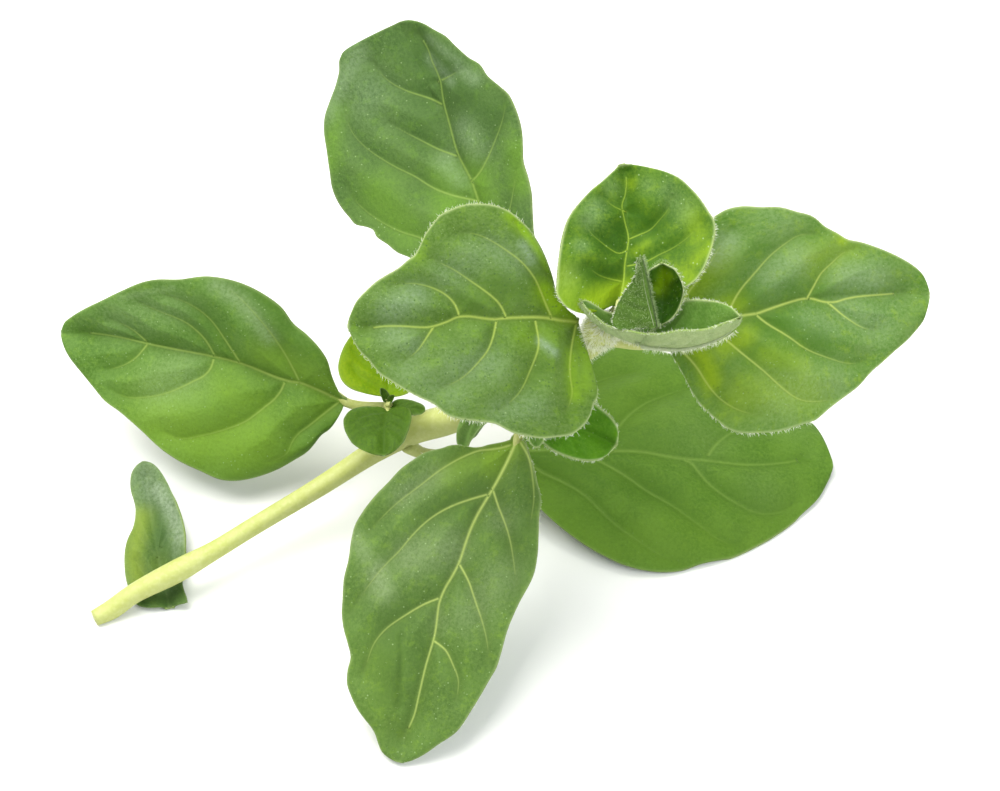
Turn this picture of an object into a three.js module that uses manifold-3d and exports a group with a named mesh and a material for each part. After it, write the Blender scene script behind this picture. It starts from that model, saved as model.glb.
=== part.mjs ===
// A cut sprig of oregano lying on a flat surface: a squarish stem, five pairs of leaves set
// crosswise, two young side shoots and a downy tip. Millimetres, +Z up, origin on the small flat
// spot under the cut end, +X along the stem as seen from above.
import * as THREE from "three";
import { mergeVertices } from "three/addons/utils/BufferGeometryUtils.js";
import Module from "manifold-3d";

const wasm = await Module();
wasm.setup();

// ---- Driving dimensions, mm and degrees ----
const BLADE = 0.62; // blade thickness
const GAP = 0.3; // clearance between a petiole and the stem it grows from
const RIB = 0.5; // how far the midrib stands out under the blade's base
const PETIOLE_RADIUS = 0.6;
const SLIM_RADIUS = 0.35; // the petiole of a leaf that lies under the stem
const HEEL = 0.35; // how far a small leaf's root stands back from its base
const PUCKER = 0.3; // how far the blade swells between two side veins
const EDGE_WAVE = 0.3; // how far a margin rises and falls
const EDGE_WAVES = 3.5; // waves along a margin
const ENDS = [0.08, 0.25]; // shares of a blade from either end over which its thickness turns
const LOBE_SPAN = 0.8; // share of the half-width at which a base lobe reaches its full depth
const SIDES = 12; // facets round the stem
const SQUARENESS = 0.1; // how far the stem's four corners stand out, as a share of its radius

// Where the side veins leave the midrib and where they would meet the margin, as shares of the blade.
const SIDE_VEINS = [[-0.2, -0.1], [0, 0.18], [0.14, 0.44], [0.28, 0.66], [0.45, 0.85], [0.66, 0.98], [1.1, 1.2]];

// The stem's axis from the cut end to the tip, with its radius there. Nodes swell a little.
const STEM = [
  { at: [-1.2, -0.7, 0.7], radius: 0.8 },
  { at: [0.4, 0.2, 0.86], radius: 0.98 },
  { at: [2.5, 1.25, 1.95], radius: 0.98 },
  { at: [7.1, 3.2, 3.4], radius: 1.15 },
  { at: [10.7, 5.3, 4.0], radius: 0.95 },
  { at: [14.2, 7.7, 4.5], radius: 0.92 },
  { at: [21.1, 12.2, 5.6], radius: 0.98 },
  { at: [26.6, 15.4, 7.3], radius: 1.15 },
  { at: [30.4, 17.1, 8.6], radius: 1.45 },
  { at: [34.3, 16.8, 10.8], radius: 1.5 },
  { at: [38.4, 15.6, 14.8], radius: 1.1 },
  { at: [42.2, 13.6, 19.0], radius: 1.25 },
  { at: [45.4, 11.9, 24.8], radius: 1.05 },
  { at: [48.3, 10.5, 30.2], radius: 1.15 },
  { at: [49.7, 7.8, 35.2], radius: 0.9 },
];
const NODE = { first: 3, second: 8, third: 11, fourth: 13, tip: 14 };

// Leaf outlines: half-widths at seven stations, closer together near the base and the tip.
const ROUND = [0.5, 0.85, 1, 0.98, 0.86, 0.66, 0.36];
const OVAL = [0.36, 0.7, 0.93, 1, 0.9, 0.64, 0.32];
const BLUNT = [0.5, 0.85, 1, 1, 0.92, 0.76, 0.48];
const widths = (outline, left, right) => ({
  left: outline.map((w) => w * left),
  right: outline.map((w) => w * right),
});

// The large leaves. face is the way the upper side looks, arch and sway bend the midrib up and to
// the right. fold lifts the left and the right half from the midrib, curl turns their margins
// (negative: down), lobe is how far the blade's corners reach back past its base, and stalk is the
// radius of a petiole that is slimmer than most. A leaf with a join lies under the stem, and its
// petiole comes down on it from above, that share of the way along.
const LEAVES = [
  {
    name: "leaf_0", node: NODE.first, colour: 0x6f9440,
    base: [6.2, 0.8, 0.6], tip: [2.6, 16.6, 4.1], face: [0.08, -0.2, 0.98],
    arch: -1, sway: 0, fold: [-3, 8], curl: [0, 40], lobe: 0.5, join: 0.14,
    left: [2.9, 3.6, 3.75, 3.05, 1.7, 1.75, 1.1], right: [1.9, 1.8, 2.6, 3.15, 2.7, 2.05, 1.1],
  },
  {
    name: "leaf_1_left", node: NODE.second, colour: 0x5c8c34,
    base: [23.5, 20.6, 8.8], tip: [-6.1, 28.8, 10.4], face: [-0.18, -0.78, 0.61],
    arch: 1.5, sway: 1.7, fold: [17, 17], curl: [-14, -14], lobe: 1,
    left: [3.0, 9.7, 11.6, 11.2, 8.4, 5.6, 2.1], right: [1.2, 4.7, 7.5, 8.8, 6.9, 4.0, 1.7],
  },
  {
    name: "leaf_1_right", node: NODE.second, colour: 0x5f9230,
    base: [39.1, 18.1, 4.2], tip: [74.1, 18.7, 0.5], face: [0.11, 0, 0.99],
    arch: 1, sway: 0.2, fold: [-3, -8], curl: [-10, -10], lobe: 1,
    left: [5.8, 12.2, 16.3, 16.4, 13.2, 8.8, 4.6], right: [3.8, 7.7, 12.1, 13.2, 11.2, 7.4, 3.4],
  },
  {
    name: "leaf_2_back", node: NODE.third, colour: 0x5c8a3c,
    base: [39.6, 23.8, 25.5], tip: [29.4, 45.0, 39.1], face: [-0.36, -0.61, 0.71],
    arch: -1.5, sway: -0.3, fold: [20, 20], curl: [-16, -16], lobe: 1,
    left: [4.0, 7.8, 10.8, 12.9, 12.2, 9.8, 7.6], right: [4.0, 6.0, 6.7, 7.9, 6.7, 4.7, 2.4],
  },
  {
    name: "leaf_2_front", node: NODE.third, colour: 0x5c8a3c,
    base: [41.1, 9.8, 16.5], tip: [29.7, -17.4, 0.3], face: [-0.04, -0.49, 0.87],
    arch: 1.2, sway: 1, fold: [12, 12], curl: [-12, -12], lobe: 1,
    left: [2.2, 4.9, 7.0, 7.0, 6.7, 5.2, 2.4], right: [1.3, 6.7, 10.0, 10.4, 8.3, 5.8, 2.4],
  },
  {
    name: "leaf_3_left", node: NODE.fourth, colour: 0x6b8f5a,
    base: [46.8, 10.0, 33.3], tip: [25.5, 5.8, 37.4], face: [0.28, -0.55, 0.78],
    arch: 1.5, sway: 0.2, fold: [9, 9], curl: [-16, -16], lobe: 3,
    left: [6.4, 11.3, 11.4, 9.7, 7.7, 5.2, 2.3], right: [0.8, 3.9, 9.3, 10.9, 7.2, 4.0, 2.1],
  },
  {
    name: "leaf_3_right", node: NODE.fourth, colour: 0x6a9442,
    base: [55.0, 11.1, 29.5], tip: [80.6, 17.3, 28.9], face: [0.17, -0.64, 0.75],
    arch: 1.2, sway: -1.6, fold: [11, 11], curl: [-14, -14], lobe: 3,
    left: [3.6, 6.8, 9.6, 8.8, 5.6, 3.8, 1.8], right: [3.1, 10.0, 11.7, 11.6, 9.1, 5.7, 2.8],
  },
  {
    name: "leaf_4_back", node: NODE.tip, colour: 0x5f8e34,
    base: [50.4, 9.2, 36.9], tip: [50.8, 21.1, 43.0], face: [0, -0.46, 0.89],
    arch: -1, sway: 0.7, fold: [17, 17], curl: [8, 8], lobe: 2, stalk: 0.35,
    left: [4.6, 6.4, 6.6, 6.1, 5.1, 3.2, 1.3], right: [2.4, 5.2, 7.6, 8.5, 7.5, 5.6, 2.1],
  },
];

// Young shoots: a stalk with small leaves sunk into it, each shoot one solid.
const SHOOTS = [
  {
    name: "side_shoot_lower", colour: 0x5f8f24, stalkRadius: 0.5,
    stalk: [[28.9, 16.8, 10.3], [28.7, 16.9, 11.4], [28.3, 16.8, 12.6], [28.1, 16.8, 13.4]],
    leaves: [
      { base: [28.1, 16.3, 12.9], tip: [27.9, 9.8, 13.5], face: [-0.09, 0.08, 0.99],
        arch: 0.6, fold: [14, 14], curl: [-20, -20], lobe: 1, ...widths(ROUND, 2.6, 4.2) },
      { base: [28.1, 17.5, 13.3], tip: [28.4, 25.9, 15.9], face: [0.01, -0.43, 0.9],
        arch: -0.5, fold: [12, 12], curl: [-8, -8], lobe: 0.5, ...widths(ROUND, 5.2, 3.0) },
      { base: [28.4, 16.8, 13.0], tip: [31.9, 15.3, 13.9], face: [-0.06, -0.25, 0.96],
        arch: 0.2, fold: [10, 10], curl: [-10, -10], ...widths(BLUNT, 0.8, 0.9) },
      { base: [28.0, 16.9, 13.3], tip: [27.4, 17.7, 14.6], face: [0.5, -0.5, 0.7],
        arch: -0.1, fold: [30, 30], curl: [20, 20], ...widths(ROUND, 0.55, 0.55) },
      { base: [28.2, 16.8, 13.3], tip: [28.8, 17.0, 14.3], face: [-0.5, -0.4, 0.75],
        arch: -0.1, fold: [30, 30], curl: [20, 20], ...widths(ROUND, 0.5, 0.5) },
    ],
  },
  {
    name: "side_shoot_upper", colour: 0x557f2c, stalkRadius: 0.5,
    stalk: [[42.7, 11.4, 19.8], [42.7, 10.6, 20.3], [42.7, 9.8, 21.2], [42.7, 9.5, 22.0]],
    leaves: [
      { base: [42.4, 10.2, 20.8], tip: [35.6, 12.0, 11.4], face: [-0.21, -0.57, 0.79],
        arch: 0.3, sway: 2.2, fold: [10, 10], curl: [-10, -10], ...widths(BLUNT, 1.2, 1.2) },
      { base: [42.7, 9.7, 21.2], tip: [42.9, 4.8, 21.0], face: [0.01, -0.27, 0.96],
        arch: 0.3, fold: [14, 14], curl: [0, 0], ...widths(OVAL, 1.3, 1.3) },
      { base: [43.0, 9.6, 21.7], tip: [50.7, 6.5, 19.3], face: [0.11, -0.6, 0.79],
        arch: -0.8, fold: [22, 22], curl: [10, 10], ...widths(BLUNT, 2.9, 3.7) },
    ],
  },
  {
    name: "shoot_tip", colour: 0x93a877, stalkRadius: 0.65,
    stalk: [[51.3, 6.7, 35.3], [52.4, 6.2, 35.3], [53.5, 5.9, 35.4], [54.8, 5.6, 35.5]],
    leaves: [
      { base: [52.3, 5.7, 35.5], tip: [61.3, 4.7, 39.9], face: [0, 0.16, 0.98],
        arch: -1.7, fold: [48, 56], curl: [24, 20],
        left: [0.8, 1.8, 3.4, 4.0, 3.7, 2.9, 1.7], right: [2.0, 2.5, 2.9, 2.9, 2.3, 1.5, 0.8] },
      { base: [54.2, 5.6, 35.4], tip: [46.7, 7.8, 38.6], face: [0.1, 0.2, 0.97],
        arch: -1.5, fold: [48, 50], curl: [16, 16],
        left: [2.0, 2.5, 2.5, 2.0, 1.4, 0.9, 0.5], right: [2.4, 3.1, 3.1, 2.2, 1.4, 1.0, 0.6] },
      { base: [53.5, 5.4, 37.8], tip: [52.0, 7.9, 44.5], face: [0.1, 0.52, -0.85],
        arch: 0.6, fold: [80, 6], curl: [0, -10],
        left: [0.6, 0.9, 1.1, 1.0, 0.8, 0.6, 0.3], right: [2.9, 3.7, 3.2, 2.2, 1.0, 0.55, 0.35] },
      { base: [54.1, 6.2, 37.3], tip: [54.1, 9.3, 42.3], face: [0.05, -0.44, 0.9],
        arch: -1.2, sway: 0.3, fold: [16, 20], curl: [30, 60],
        left: [1.0, 1.9, 2.2, 2.2, 2.2, 2.0, 1.4], right: [0.9, 1.7, 2.2, 2.5, 2.6, 2.2, 1.4] },
    ],
  },
];

// ---- Vectors ----
const vec = (p) => new THREE.Vector3(...p);
const across = (v, axis) => v.clone().addScaledVector(axis, -v.dot(axis)).normalize();
const share = (i, n) => i / (n - 1);

// Catmull-Rom through evenly spaced knots, read at place (0 is the second knot given).
function smooth(knots, place) {
  const k = Math.min(Math.floor(place), knots.length - 4);
  const f = place - k;
  const [a, b, c, d] = knots.slice(k, k + 4);
  return 0.5 * (2 * b + (c - a) * f + (2 * a - 5 * b + 4 * c - d) * f * f
    + (3 * b - a - 3 * c + d) * f * f * f);
}

// ---- The blade ----
// The half-width t of the way along a blade. Equal steps of the angle put the stations close
// together at both ends, where the outline turns fastest.
function halfWidth(widths, t) {
  const knots = [-widths[0], 0, ...widths, 0, -widths.at(-1)];
  return smooth(knots, (Math.acos(1 - 2 * t) / Math.PI) * (widths.length + 1));
}

// The swelling between two side veins, largest halfway out to the margin.
function pucker(t, out) {
  const veins = SIDE_VEINS.map(([from, to]) => from + (to - from) * out ** 1.3);
  const i = veins.findLastIndex((place) => place <= t);
  const between = (t - veins[i]) / (veins[i + 1] - veins[i]);
  return Math.sin(Math.PI * between) * 4 * out * (1 - out);
}

// A leaf's shape: frame(t) along the midrib, face(t, v) on the upper side, v from -1 to 1.
function bladeOf(leaf) {
  const base = vec(leaf.base);
  const chord = vec(leaf.tip).sub(base);
  const along = chord.clone().normalize();
  const up = across(vec(leaf.face), along);
  const right = along.clone().cross(up);
  const bend = up.clone().multiplyScalar(leaf.arch).addScaledVector(right, leaf.sway ?? 0);
  const relief = chord.length() / 30;

  function frame(t) {
    const centre = base.clone().addScaledVector(chord, t).addScaledVector(bend, 4 * t * (1 - t));
    const ahead = chord.clone().addScaledVector(bend, 4 * (1 - 2 * t)).normalize();
    const side = across(right, ahead);
    return { centre, ahead, side, up: side.clone().cross(ahead) };
  }

  function face(t, v, swell = relief) {
    const at = frame(t);
    const half = v < 0 ? 0 : 1;
    const widths = half ? leaf.right : leaf.left;
    const out = Math.abs(v);
    const a = out * Math.max(halfWidth(widths, t), PETIOLE_RADIUS * 0.8);
    const reach = a / Math.max(...widths);
    const angle = THREE.MathUtils.degToRad(leaf.fold[half] + (leaf.curl[half] / 2) * reach);
    const back = (leaf.lobe ?? 0) * (1 - t) ** 4 * Math.min(reach / LOBE_SPAN, 1.2) ** 1.5;
    const wave = EDGE_WAVE * Math.sin(2 * Math.PI * EDGE_WAVES * t + 2 * v) * out * out;
    const lift = swell * (PUCKER * pucker(t, out) + wave * Math.sin(Math.PI * t));
    return at.centre
      .addScaledVector(at.ahead, -back)
      .addScaledVector(at.side, Math.sign(v) * a * Math.cos(angle))
      .addScaledVector(at.up, a * Math.sin(angle) + lift);
  }

  // The way the upper side looks at (t, v), leaving out its swellings.
  function normal(t, v) {
    const step = 0.02;
    const t0 = Math.max(t - step, 0.001);
    const t1 = Math.min(t + step, 0.999);
    const down = face(t1, v, 0).sub(face(t0, v, 0));
    const over = face(t, Math.min(v + step, 1), 0).sub(face(t, Math.max(v - step, -1), 0));
    return over.cross(down).normalize();
  }

  // The way the thickness runs: square to the face, but square to the midrib at both ends, where
  // the rows lie so close together that their undersides would cross.
  function through(t, v) {
    const square = THREE.MathUtils.smoothstep(Math.min(t, 1 - t), ...ENDS);
    return frame(t).up.lerp(normal(t, v), square).normalize();
  }

  return { frame, face, through, length: chord.length() };
}

// ---- Closed surfaces ----
// Joins rings of equal point counts, with both ends closed by a strip across the ring.
function loft(rings) {
  const n = rings[0].length;
  const triangles = [];
  rings.slice(1).forEach((_, i) => {
    for (let j = 0; j < n; j++) {
      const a = i * n + j;
      const b = i * n + ((j + 1) % n);
      triangles.push(a, a + n, b, b, a + n, b + n);
    }
  });
  const last = (rings.length - 1) * n;
  for (let j = 0; j < n / 2 - 1; j++) {
    const k = n - 1 - j;
    triangles.push(j, j + 1, k, j + 1, k - 1, k);
    triangles.push(last + j, last + k, last + j + 1, last + j + 1, last + k, last + k - 1);
  }
  const geometry = new THREE.BufferGeometry();
  geometry.setAttribute("position",
    new THREE.Float32BufferAttribute(rings.flat().flatMap((p) => p.toArray()), 3));
  return geometry.setIndex(triangles);
}

// A ring of points round a stalk: evenly spaced, the first just above the right-hand side.
function stalkRing(centre, right, up, radius, count) {
  return Array.from({ length: count }, (_, j) => {
    const angle = (2 * Math.PI * (j + 0.5)) / count;
    return centre.clone()
      .addScaledVector(right, radius * Math.cos(angle))
      .addScaledVector(up, radius * Math.sin(angle));
  });
}

// A leaf from its root to its tip: the petiole's rings, then the blade's, upper side first.
function leafGeometry(leaf, root, outward, rows, columns) {
  const blade = bladeOf(leaf);
  const start = blade.frame(0);
  const reach = root.distanceTo(start.centre) * 0.4;
  const petiole = new THREE.CubicBezierCurve3(root,
    root.clone().addScaledVector(outward, reach),
    start.centre.clone().addScaledVector(start.ahead, -reach), start.centre);
  const slim = Math.min(PETIOLE_RADIUS, leaf.stalk ?? PETIOLE_RADIUS);
  const steps = Math.max(2, Math.round(root.distanceTo(start.centre) / 1.6));
  const rings = [];
  for (let i = 0; i < steps; i++) {
    const t = i / steps;
    const ahead = petiole.getTangent(t);
    const right = across(start.side, ahead);
    rings.push(stalkRing(petiole.getPoint(t), right, right.clone().cross(ahead), slim, 2 * columns));
  }
  for (let i = 0; i < rows; i++) {
    const t = 0.006 + 0.986 * (1 - Math.cos(Math.PI * share(i, rows))) / 2;
    const upper = [];
    const lower = [];
    for (let j = 0; j < columns; j++) {
      const v = Math.cos(Math.PI * share(j, columns));
      const point = blade.face(t, v);
      const rib = j === (columns - 1) / 2 ? RIB * (1 - t) * Math.min(blade.length / 20, 1) : 0;
      upper.push(point);
      lower.unshift(point.clone().addScaledVector(blade.through(t, v), -BLADE - rib));
    }
    rings.push([...upper, ...lower]);
  }
  const geometry = loft(rings);
  layFlat(geometry);
  return geometry;
}

// A leaf whose petiole comes down on the blade from above and is sunk into it.
function hungLeafGeometry(leaf, root) {
  const blade = bladeOf(leaf);
  const { ahead } = blade.frame(0);
  const heel = vec(leaf.base).addScaledVector(ahead, -HEEL);
  const sole = blade.frame(leaf.join).up.multiplyScalar(-BLADE / 2);
  const path = new THREE.LineCurve3(root, blade.face(leaf.join, 0).add(sole));
  const way = path.getTangent(0);
  const right = across(ahead, way);
  const rings = [0, 0.5, 1].map((t) =>
    stalkRing(path.getPoint(t), right, right.clone().cross(way), SLIM_RADIUS, 10));
  const slim = { ...leaf, stalk: SLIM_RADIUS };
  const body = solidOf(leafGeometry(slim, heel, ahead, 18, 9));
  return geometryOf(outerShell(body.add(solidOf(loft(rings)))));
}

// What would dip below the surface lies flat on it.
function layFlat(geometry) {
  const position = geometry.getAttribute("position");
  for (let i = 0; i < position.count; i++) position.setZ(i, Math.max(position.getZ(i), 0));
}

// ---- The stem ----
const stemCurve = new THREE.CatmullRomCurve3(STEM.map(({ at }) => vec(at)), false, "centripetal");

function stemGeometry() {
  const rings = [];
  const perSpan = 4;
  const radii = STEM.map(({ radius }) => radius);
  const knots = [radii[0], ...radii, radii.at(-1)];
  const steps = (STEM.length - 1) * perSpan;
  for (let i = 0; i <= steps; i++) {
    const centre = stemCurve.getPoint(i / steps);
    const ahead = stemCurve.getTangent(i / steps);
    const side = ahead.clone().cross(new THREE.Vector3(0, 0, 1)).normalize();
    const up = side.clone().cross(ahead);
    const radius = smooth(knots, i / perSpan);
    rings.push(Array.from({ length: SIDES }, (_, j) => {
      const angle = (2 * Math.PI * (j + 0.5)) / SIDES;
      const corner = 1 - SQUARENESS * Math.cos(4 * angle);
      return centre.clone()
        .addScaledVector(side, radius * corner * Math.cos(angle))
        .addScaledVector(up, radius * corner * Math.sin(angle));
    }));
  }
  const geometry = loft(rings);
  layFlat(geometry);
  return geometry;
}

// ---- Joining a shoot's pieces into one solid ----
function solidOf(geometry) {
  const bare = new THREE.BufferGeometry();
  bare.setAttribute("position", geometry.getAttribute("position"));
  bare.setIndex(geometry.getIndex());
  const merged = mergeVertices(bare, 1e-3);
  return new wasm.Manifold(new wasm.Mesh({
    numProp: 3,
    vertProperties: new Float32Array(merged.getAttribute("position").array),
    triVerts: new Uint32Array(merged.getIndex().array),
  }));
}

function geometryOf(solid) {
  const mesh = solid.getMesh();
  const geometry = new THREE.BufferGeometry();
  geometry.setAttribute("position", new THREE.Float32BufferAttribute(mesh.vertProperties, 3));
  return geometry.setIndex([...mesh.triVerts]);
}

// Fusing can seal a small hollow, which is a body of negative volume: only the outside is kept.
function outerShell(solid) {
  return solid.decompose().reduce((most, body) => (body.volume() > most.volume() ? body : most));
}

function shootGeometry(shoot) {
  const path = new THREE.CatmullRomCurve3(shoot.stalk.map(vec));
  const rings = Array.from({ length: 7 }, (_, i) => {
    const ahead = path.getTangent(i / 6);
    const right = across(new THREE.Vector3(1, 0.3, 0), ahead);
    const radius = shoot.stalkRadius * (1 - 0.3 * (i / 6));
    return stalkRing(path.getPoint(i / 6), right, right.clone().cross(ahead), radius, 8);
  });
  const pieces = shoot.leaves.map((leaf) => {
    const { ahead } = bladeOf(leaf).frame(0);
    const slim = { ...leaf, stalk: shoot.stalkRadius * 0.7 };
    const root = vec(leaf.base).addScaledVector(ahead, -HEEL);
    return solidOf(leafGeometry(slim, root, ahead, 9, 7));
  });
  const fused = pieces.reduce((whole, piece) => whole.add(piece), solidOf(loft(rings)));
  return geometryOf(outerShell(fused));
}

// ---- The sprig ----
const sprig = new THREE.Group();

function addPiece(name, geometry, colour, roughness) {
  geometry.computeVertexNormals();
  const material = new THREE.MeshStandardMaterial({ color: colour, roughness, metalness: 0 });
  const mesh = new THREE.Mesh(geometry, material);
  mesh.name = name;
  sprig.add(mesh);
}

addPiece("stem", stemGeometry(), 0xd3da84, 0.55);

for (const leaf of LEAVES) {
  const { at, radius } = STEM[leaf.node];
  const node = vec(at);
  const axis = stemCurve.getTangent(leaf.node / (STEM.length - 1));
  const outward = across(vec(leaf.base).sub(node), axis);
  const root = node.addScaledVector(outward, radius * (1 + SQUARENESS) + GAP);
  const geometry = leaf.join ? hungLeafGeometry(leaf, root) : leafGeometry(leaf, root, outward, 18, 9);
  addPiece(leaf.name, geometry, leaf.colour, 0.6);
}

for (const shoot of SHOOTS) addPiece(shoot.name, shootGeometry(shoot), shoot.colour, 0.7);

export default sprig;
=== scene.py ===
"""A cut sprig of fresh oregano lying on a pale surface.

Every leaf is drawn on a flat pattern in millimetres, with its margin, midrib and side veins, and is
then bent into its place on the stem. Veins, petioles and hairs are shapes of their own.
"""
import math

import bmesh
import bpy
import numpy as np
from mathutils import Matrix, Vector


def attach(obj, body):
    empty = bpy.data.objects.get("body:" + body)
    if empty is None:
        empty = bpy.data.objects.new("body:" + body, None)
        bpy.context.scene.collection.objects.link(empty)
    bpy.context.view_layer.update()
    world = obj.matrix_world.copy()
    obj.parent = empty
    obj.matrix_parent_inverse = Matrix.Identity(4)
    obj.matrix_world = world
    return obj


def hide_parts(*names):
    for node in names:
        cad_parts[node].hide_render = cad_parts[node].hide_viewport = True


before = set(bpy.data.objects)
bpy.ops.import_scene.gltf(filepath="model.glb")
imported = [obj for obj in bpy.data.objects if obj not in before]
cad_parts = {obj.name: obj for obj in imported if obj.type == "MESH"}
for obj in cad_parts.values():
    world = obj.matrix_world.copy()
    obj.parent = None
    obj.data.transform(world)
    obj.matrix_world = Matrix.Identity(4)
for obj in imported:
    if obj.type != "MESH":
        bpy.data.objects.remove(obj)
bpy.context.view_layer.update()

MM = 0.001
rng = np.random.default_rng(7)

# ---- Sizes in millimetres, shares and counts ----
BLADE = 0.3  # thickness of a leaf blade
STALK = 0.6  # radius of a petiole
PUFF, PUFF_REACH = 0.7, 1.7  # how far the blade swells between its veins, and over what distance
GROOVE, GROOVE_REACH = 0.18, 0.45  # depth and half-width of the groove that a vein lies in
CREASE, CREASE_REACH = 0.22, 0.35  # depth and half-width of a crease
RIPPLE = 0.05  # height of the uneven ripples of a blade
VEIN = 0.085  # half-width of a side vein where it leaves the midrib
MIDRIB = 0.14  # half-width of the midrib at the blade's base
VEIN_END = 0.02  # what is added to the half-width of every vein
VEIN_TAPER = 0.6  # share of its width that a vein loses on its way
VEIN_STEP = 0.3  # distance between the stations of a vein
MIDRIB_TONE, VEIN_TONE = (0.95, 0.5), (0.8, 0.85)  # strength of the colour, and the share lost outwards
PROUD, CLEAR = 0.02, 0.008  # how far a vein stands out of the upper face, and its edges too
RIB, RIB_END = 0.2, 0.05  # radius of a side vein on the underside, at the midrib and at its end
RIM = 0.16  # width of the pale rim: the margin's own pale line with a painted highlight along it
VALLEY = 0.7  # half-width of the painted shade in the dip beside a vein
RIB_REACH = 0.85  # share of the blade that the rib under its midrib runs along
HAIR = 0.021  # radius of a hair at its root
DOWN, YOUNG_DOWN = 0.2, 0.16  # longest hairs on the face of a leaf
YOUNG_FRINGE = 0.34  # longest hairs at the margins of a young leaf
STEM_HAIRS, TIP_HAIRS, STALK_HAIRS = 2400, 900, 1100  # how many
YOUNG_FACES, DOWNY_FACES = (30, 150), (60, 1000)  # how many on the upper and the under face
BEARD = 220  # how many hang from the keel of a downy leaf
GROWN, VEINED, THICK = 25, 22, 12  # lengths from which relief, veins and thickness are those of a grown leaf
HALO = 0.1  # how strongly the tissue beside a vein takes its colour
MIDRIB_HALO, VEIN_HALO = 0.42, 0.34  # how far it takes that colour
GROWN_GRID, YOUNG_GRID = (140, 200), (56, 80)  # columns and rows of a blade

# ---- The stem: its axis from the cut end to the tip, and its radius there ----
STEM = [
    ((-1.2, -0.7, 0.7), 0.8), ((0.4, 0.2, 0.86), 0.98), ((2.5, 1.25, 1.95), 0.98),
    ((7.1, 3.2, 3.4), 1.15), ((10.7, 5.3, 4.0), 0.95), ((14.2, 7.7, 4.5), 0.92),
    ((21.1, 12.2, 5.6), 0.98), ((26.6, 15.4, 7.3), 1.15), ((30.4, 17.1, 8.6), 1.45),
    ((34.3, 16.8, 10.8), 1.5), ((38.4, 15.6, 14.8), 1.1), ((42.2, 13.6, 19.0), 1.25),
    ((45.4, 11.9, 24.8), 1.05), ((48.3, 10.5, 30.2), 1.35), ((48.9, 8.3, 34.4), 1.5),
    ((49.5, 7.8, 35.9), 0.8),
]

# ---- Leaves ----
# node: the place in STEM that carries the leaf. base and tip: the ends of the blade in space, and
# face: the way that it looks. arch and sway: mm that its middle lies above and right of the line
# between them. fold and curl: degrees that the left and the right half are raised, at the midrib and
# further out. lobe and heel: mm that the base reaches back beside the petiole. join: how far along the
# blade the petiole meets it. root: where the petiole begins, if not at the node. faint and broad:
# strength and width of the veins, where they aren't those of a common leaf.
# left and right: (per cent of the blade's length, half-width). midrib: (per cent, how far it strays
# to the right). veins: (mm along, mm across). crease: lines of (mm along, mm to the right).
# glow, bloom and dark: (radius, strength, places as mm along and mm to the right) of patches:
# painted light shining through tender tissue, pale down with a painted sheen, and deep green that is partly
# painted shade in hollows and on turned-down margins. swell: (mm along, mm to the right, radius, height).
# roll: (side, per cent, spread, share, drop) of a margin that turns down.
LEAVES = {}
LEAVES["leaf_0"] = dict(
    node=3, base=(6.2, 0.8, 0.6), tip=(2.6, 16.6, 4.1), face=(0.08, -0.2, 0.98), arch=-1, fold=(-3, 8),
    curl=(0, 40), lobe=(0, 1.2), join=0.2, stalk=0.3, faint=0.15,
    left=[(2, 2.3), (4, 2.9), (15, 3.6), (31, 3.75), (50, 3.05), (60, 2.1), (69, 1.65), (85, 1.75),
        (94, 1.4), (98, 0.85)],
    right=[(2, 1.9), (4, 1.95), (15, 1.8), (31, 2.6), (50, 3.15), (69, 2.7), (85, 2.05), (94, 1.4),
        (98, 0.85)],
    midrib=[(0, 0), (50, -0.2), (90, 0)],
    veins_left=[[(2, 0.2), (4, 1.6), (6, 2.5)], [(6, 0.2), (8, 1.5), (9.5, 2)]],
    veins_right=[[(3, 0.2), (5, 1.2), (7.5, 2)], [(7, 0.2), (9, 1.6), (11, 2.2)]],
    glow=[(1.1, 0.9, (11, -1.1), (8.8, -1.9), (6.1, -2.8), (4, -2.6)), (1.5, 0.3, (5, -0.5))],
    bloom=[(1, 1, (13.4, 0.9), (11.3, 1.9), (9, 2.4), (7.2, 2.5)), (2, 0.55, (15.4, 0), (13.6, 0)),
        (0.8, 0.5, (10, 2.2), (6, 2))],
    dark=[(0.7, 1, (11.6, 0.7), (8.8, 0.6), (6.9, 0.7), (5.7, 0.2)), (1.4, 0.5, (1.2, -2), (0.8, 1))],
    swell=[(8, -1.5, 2, 0.5)],
)
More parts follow.
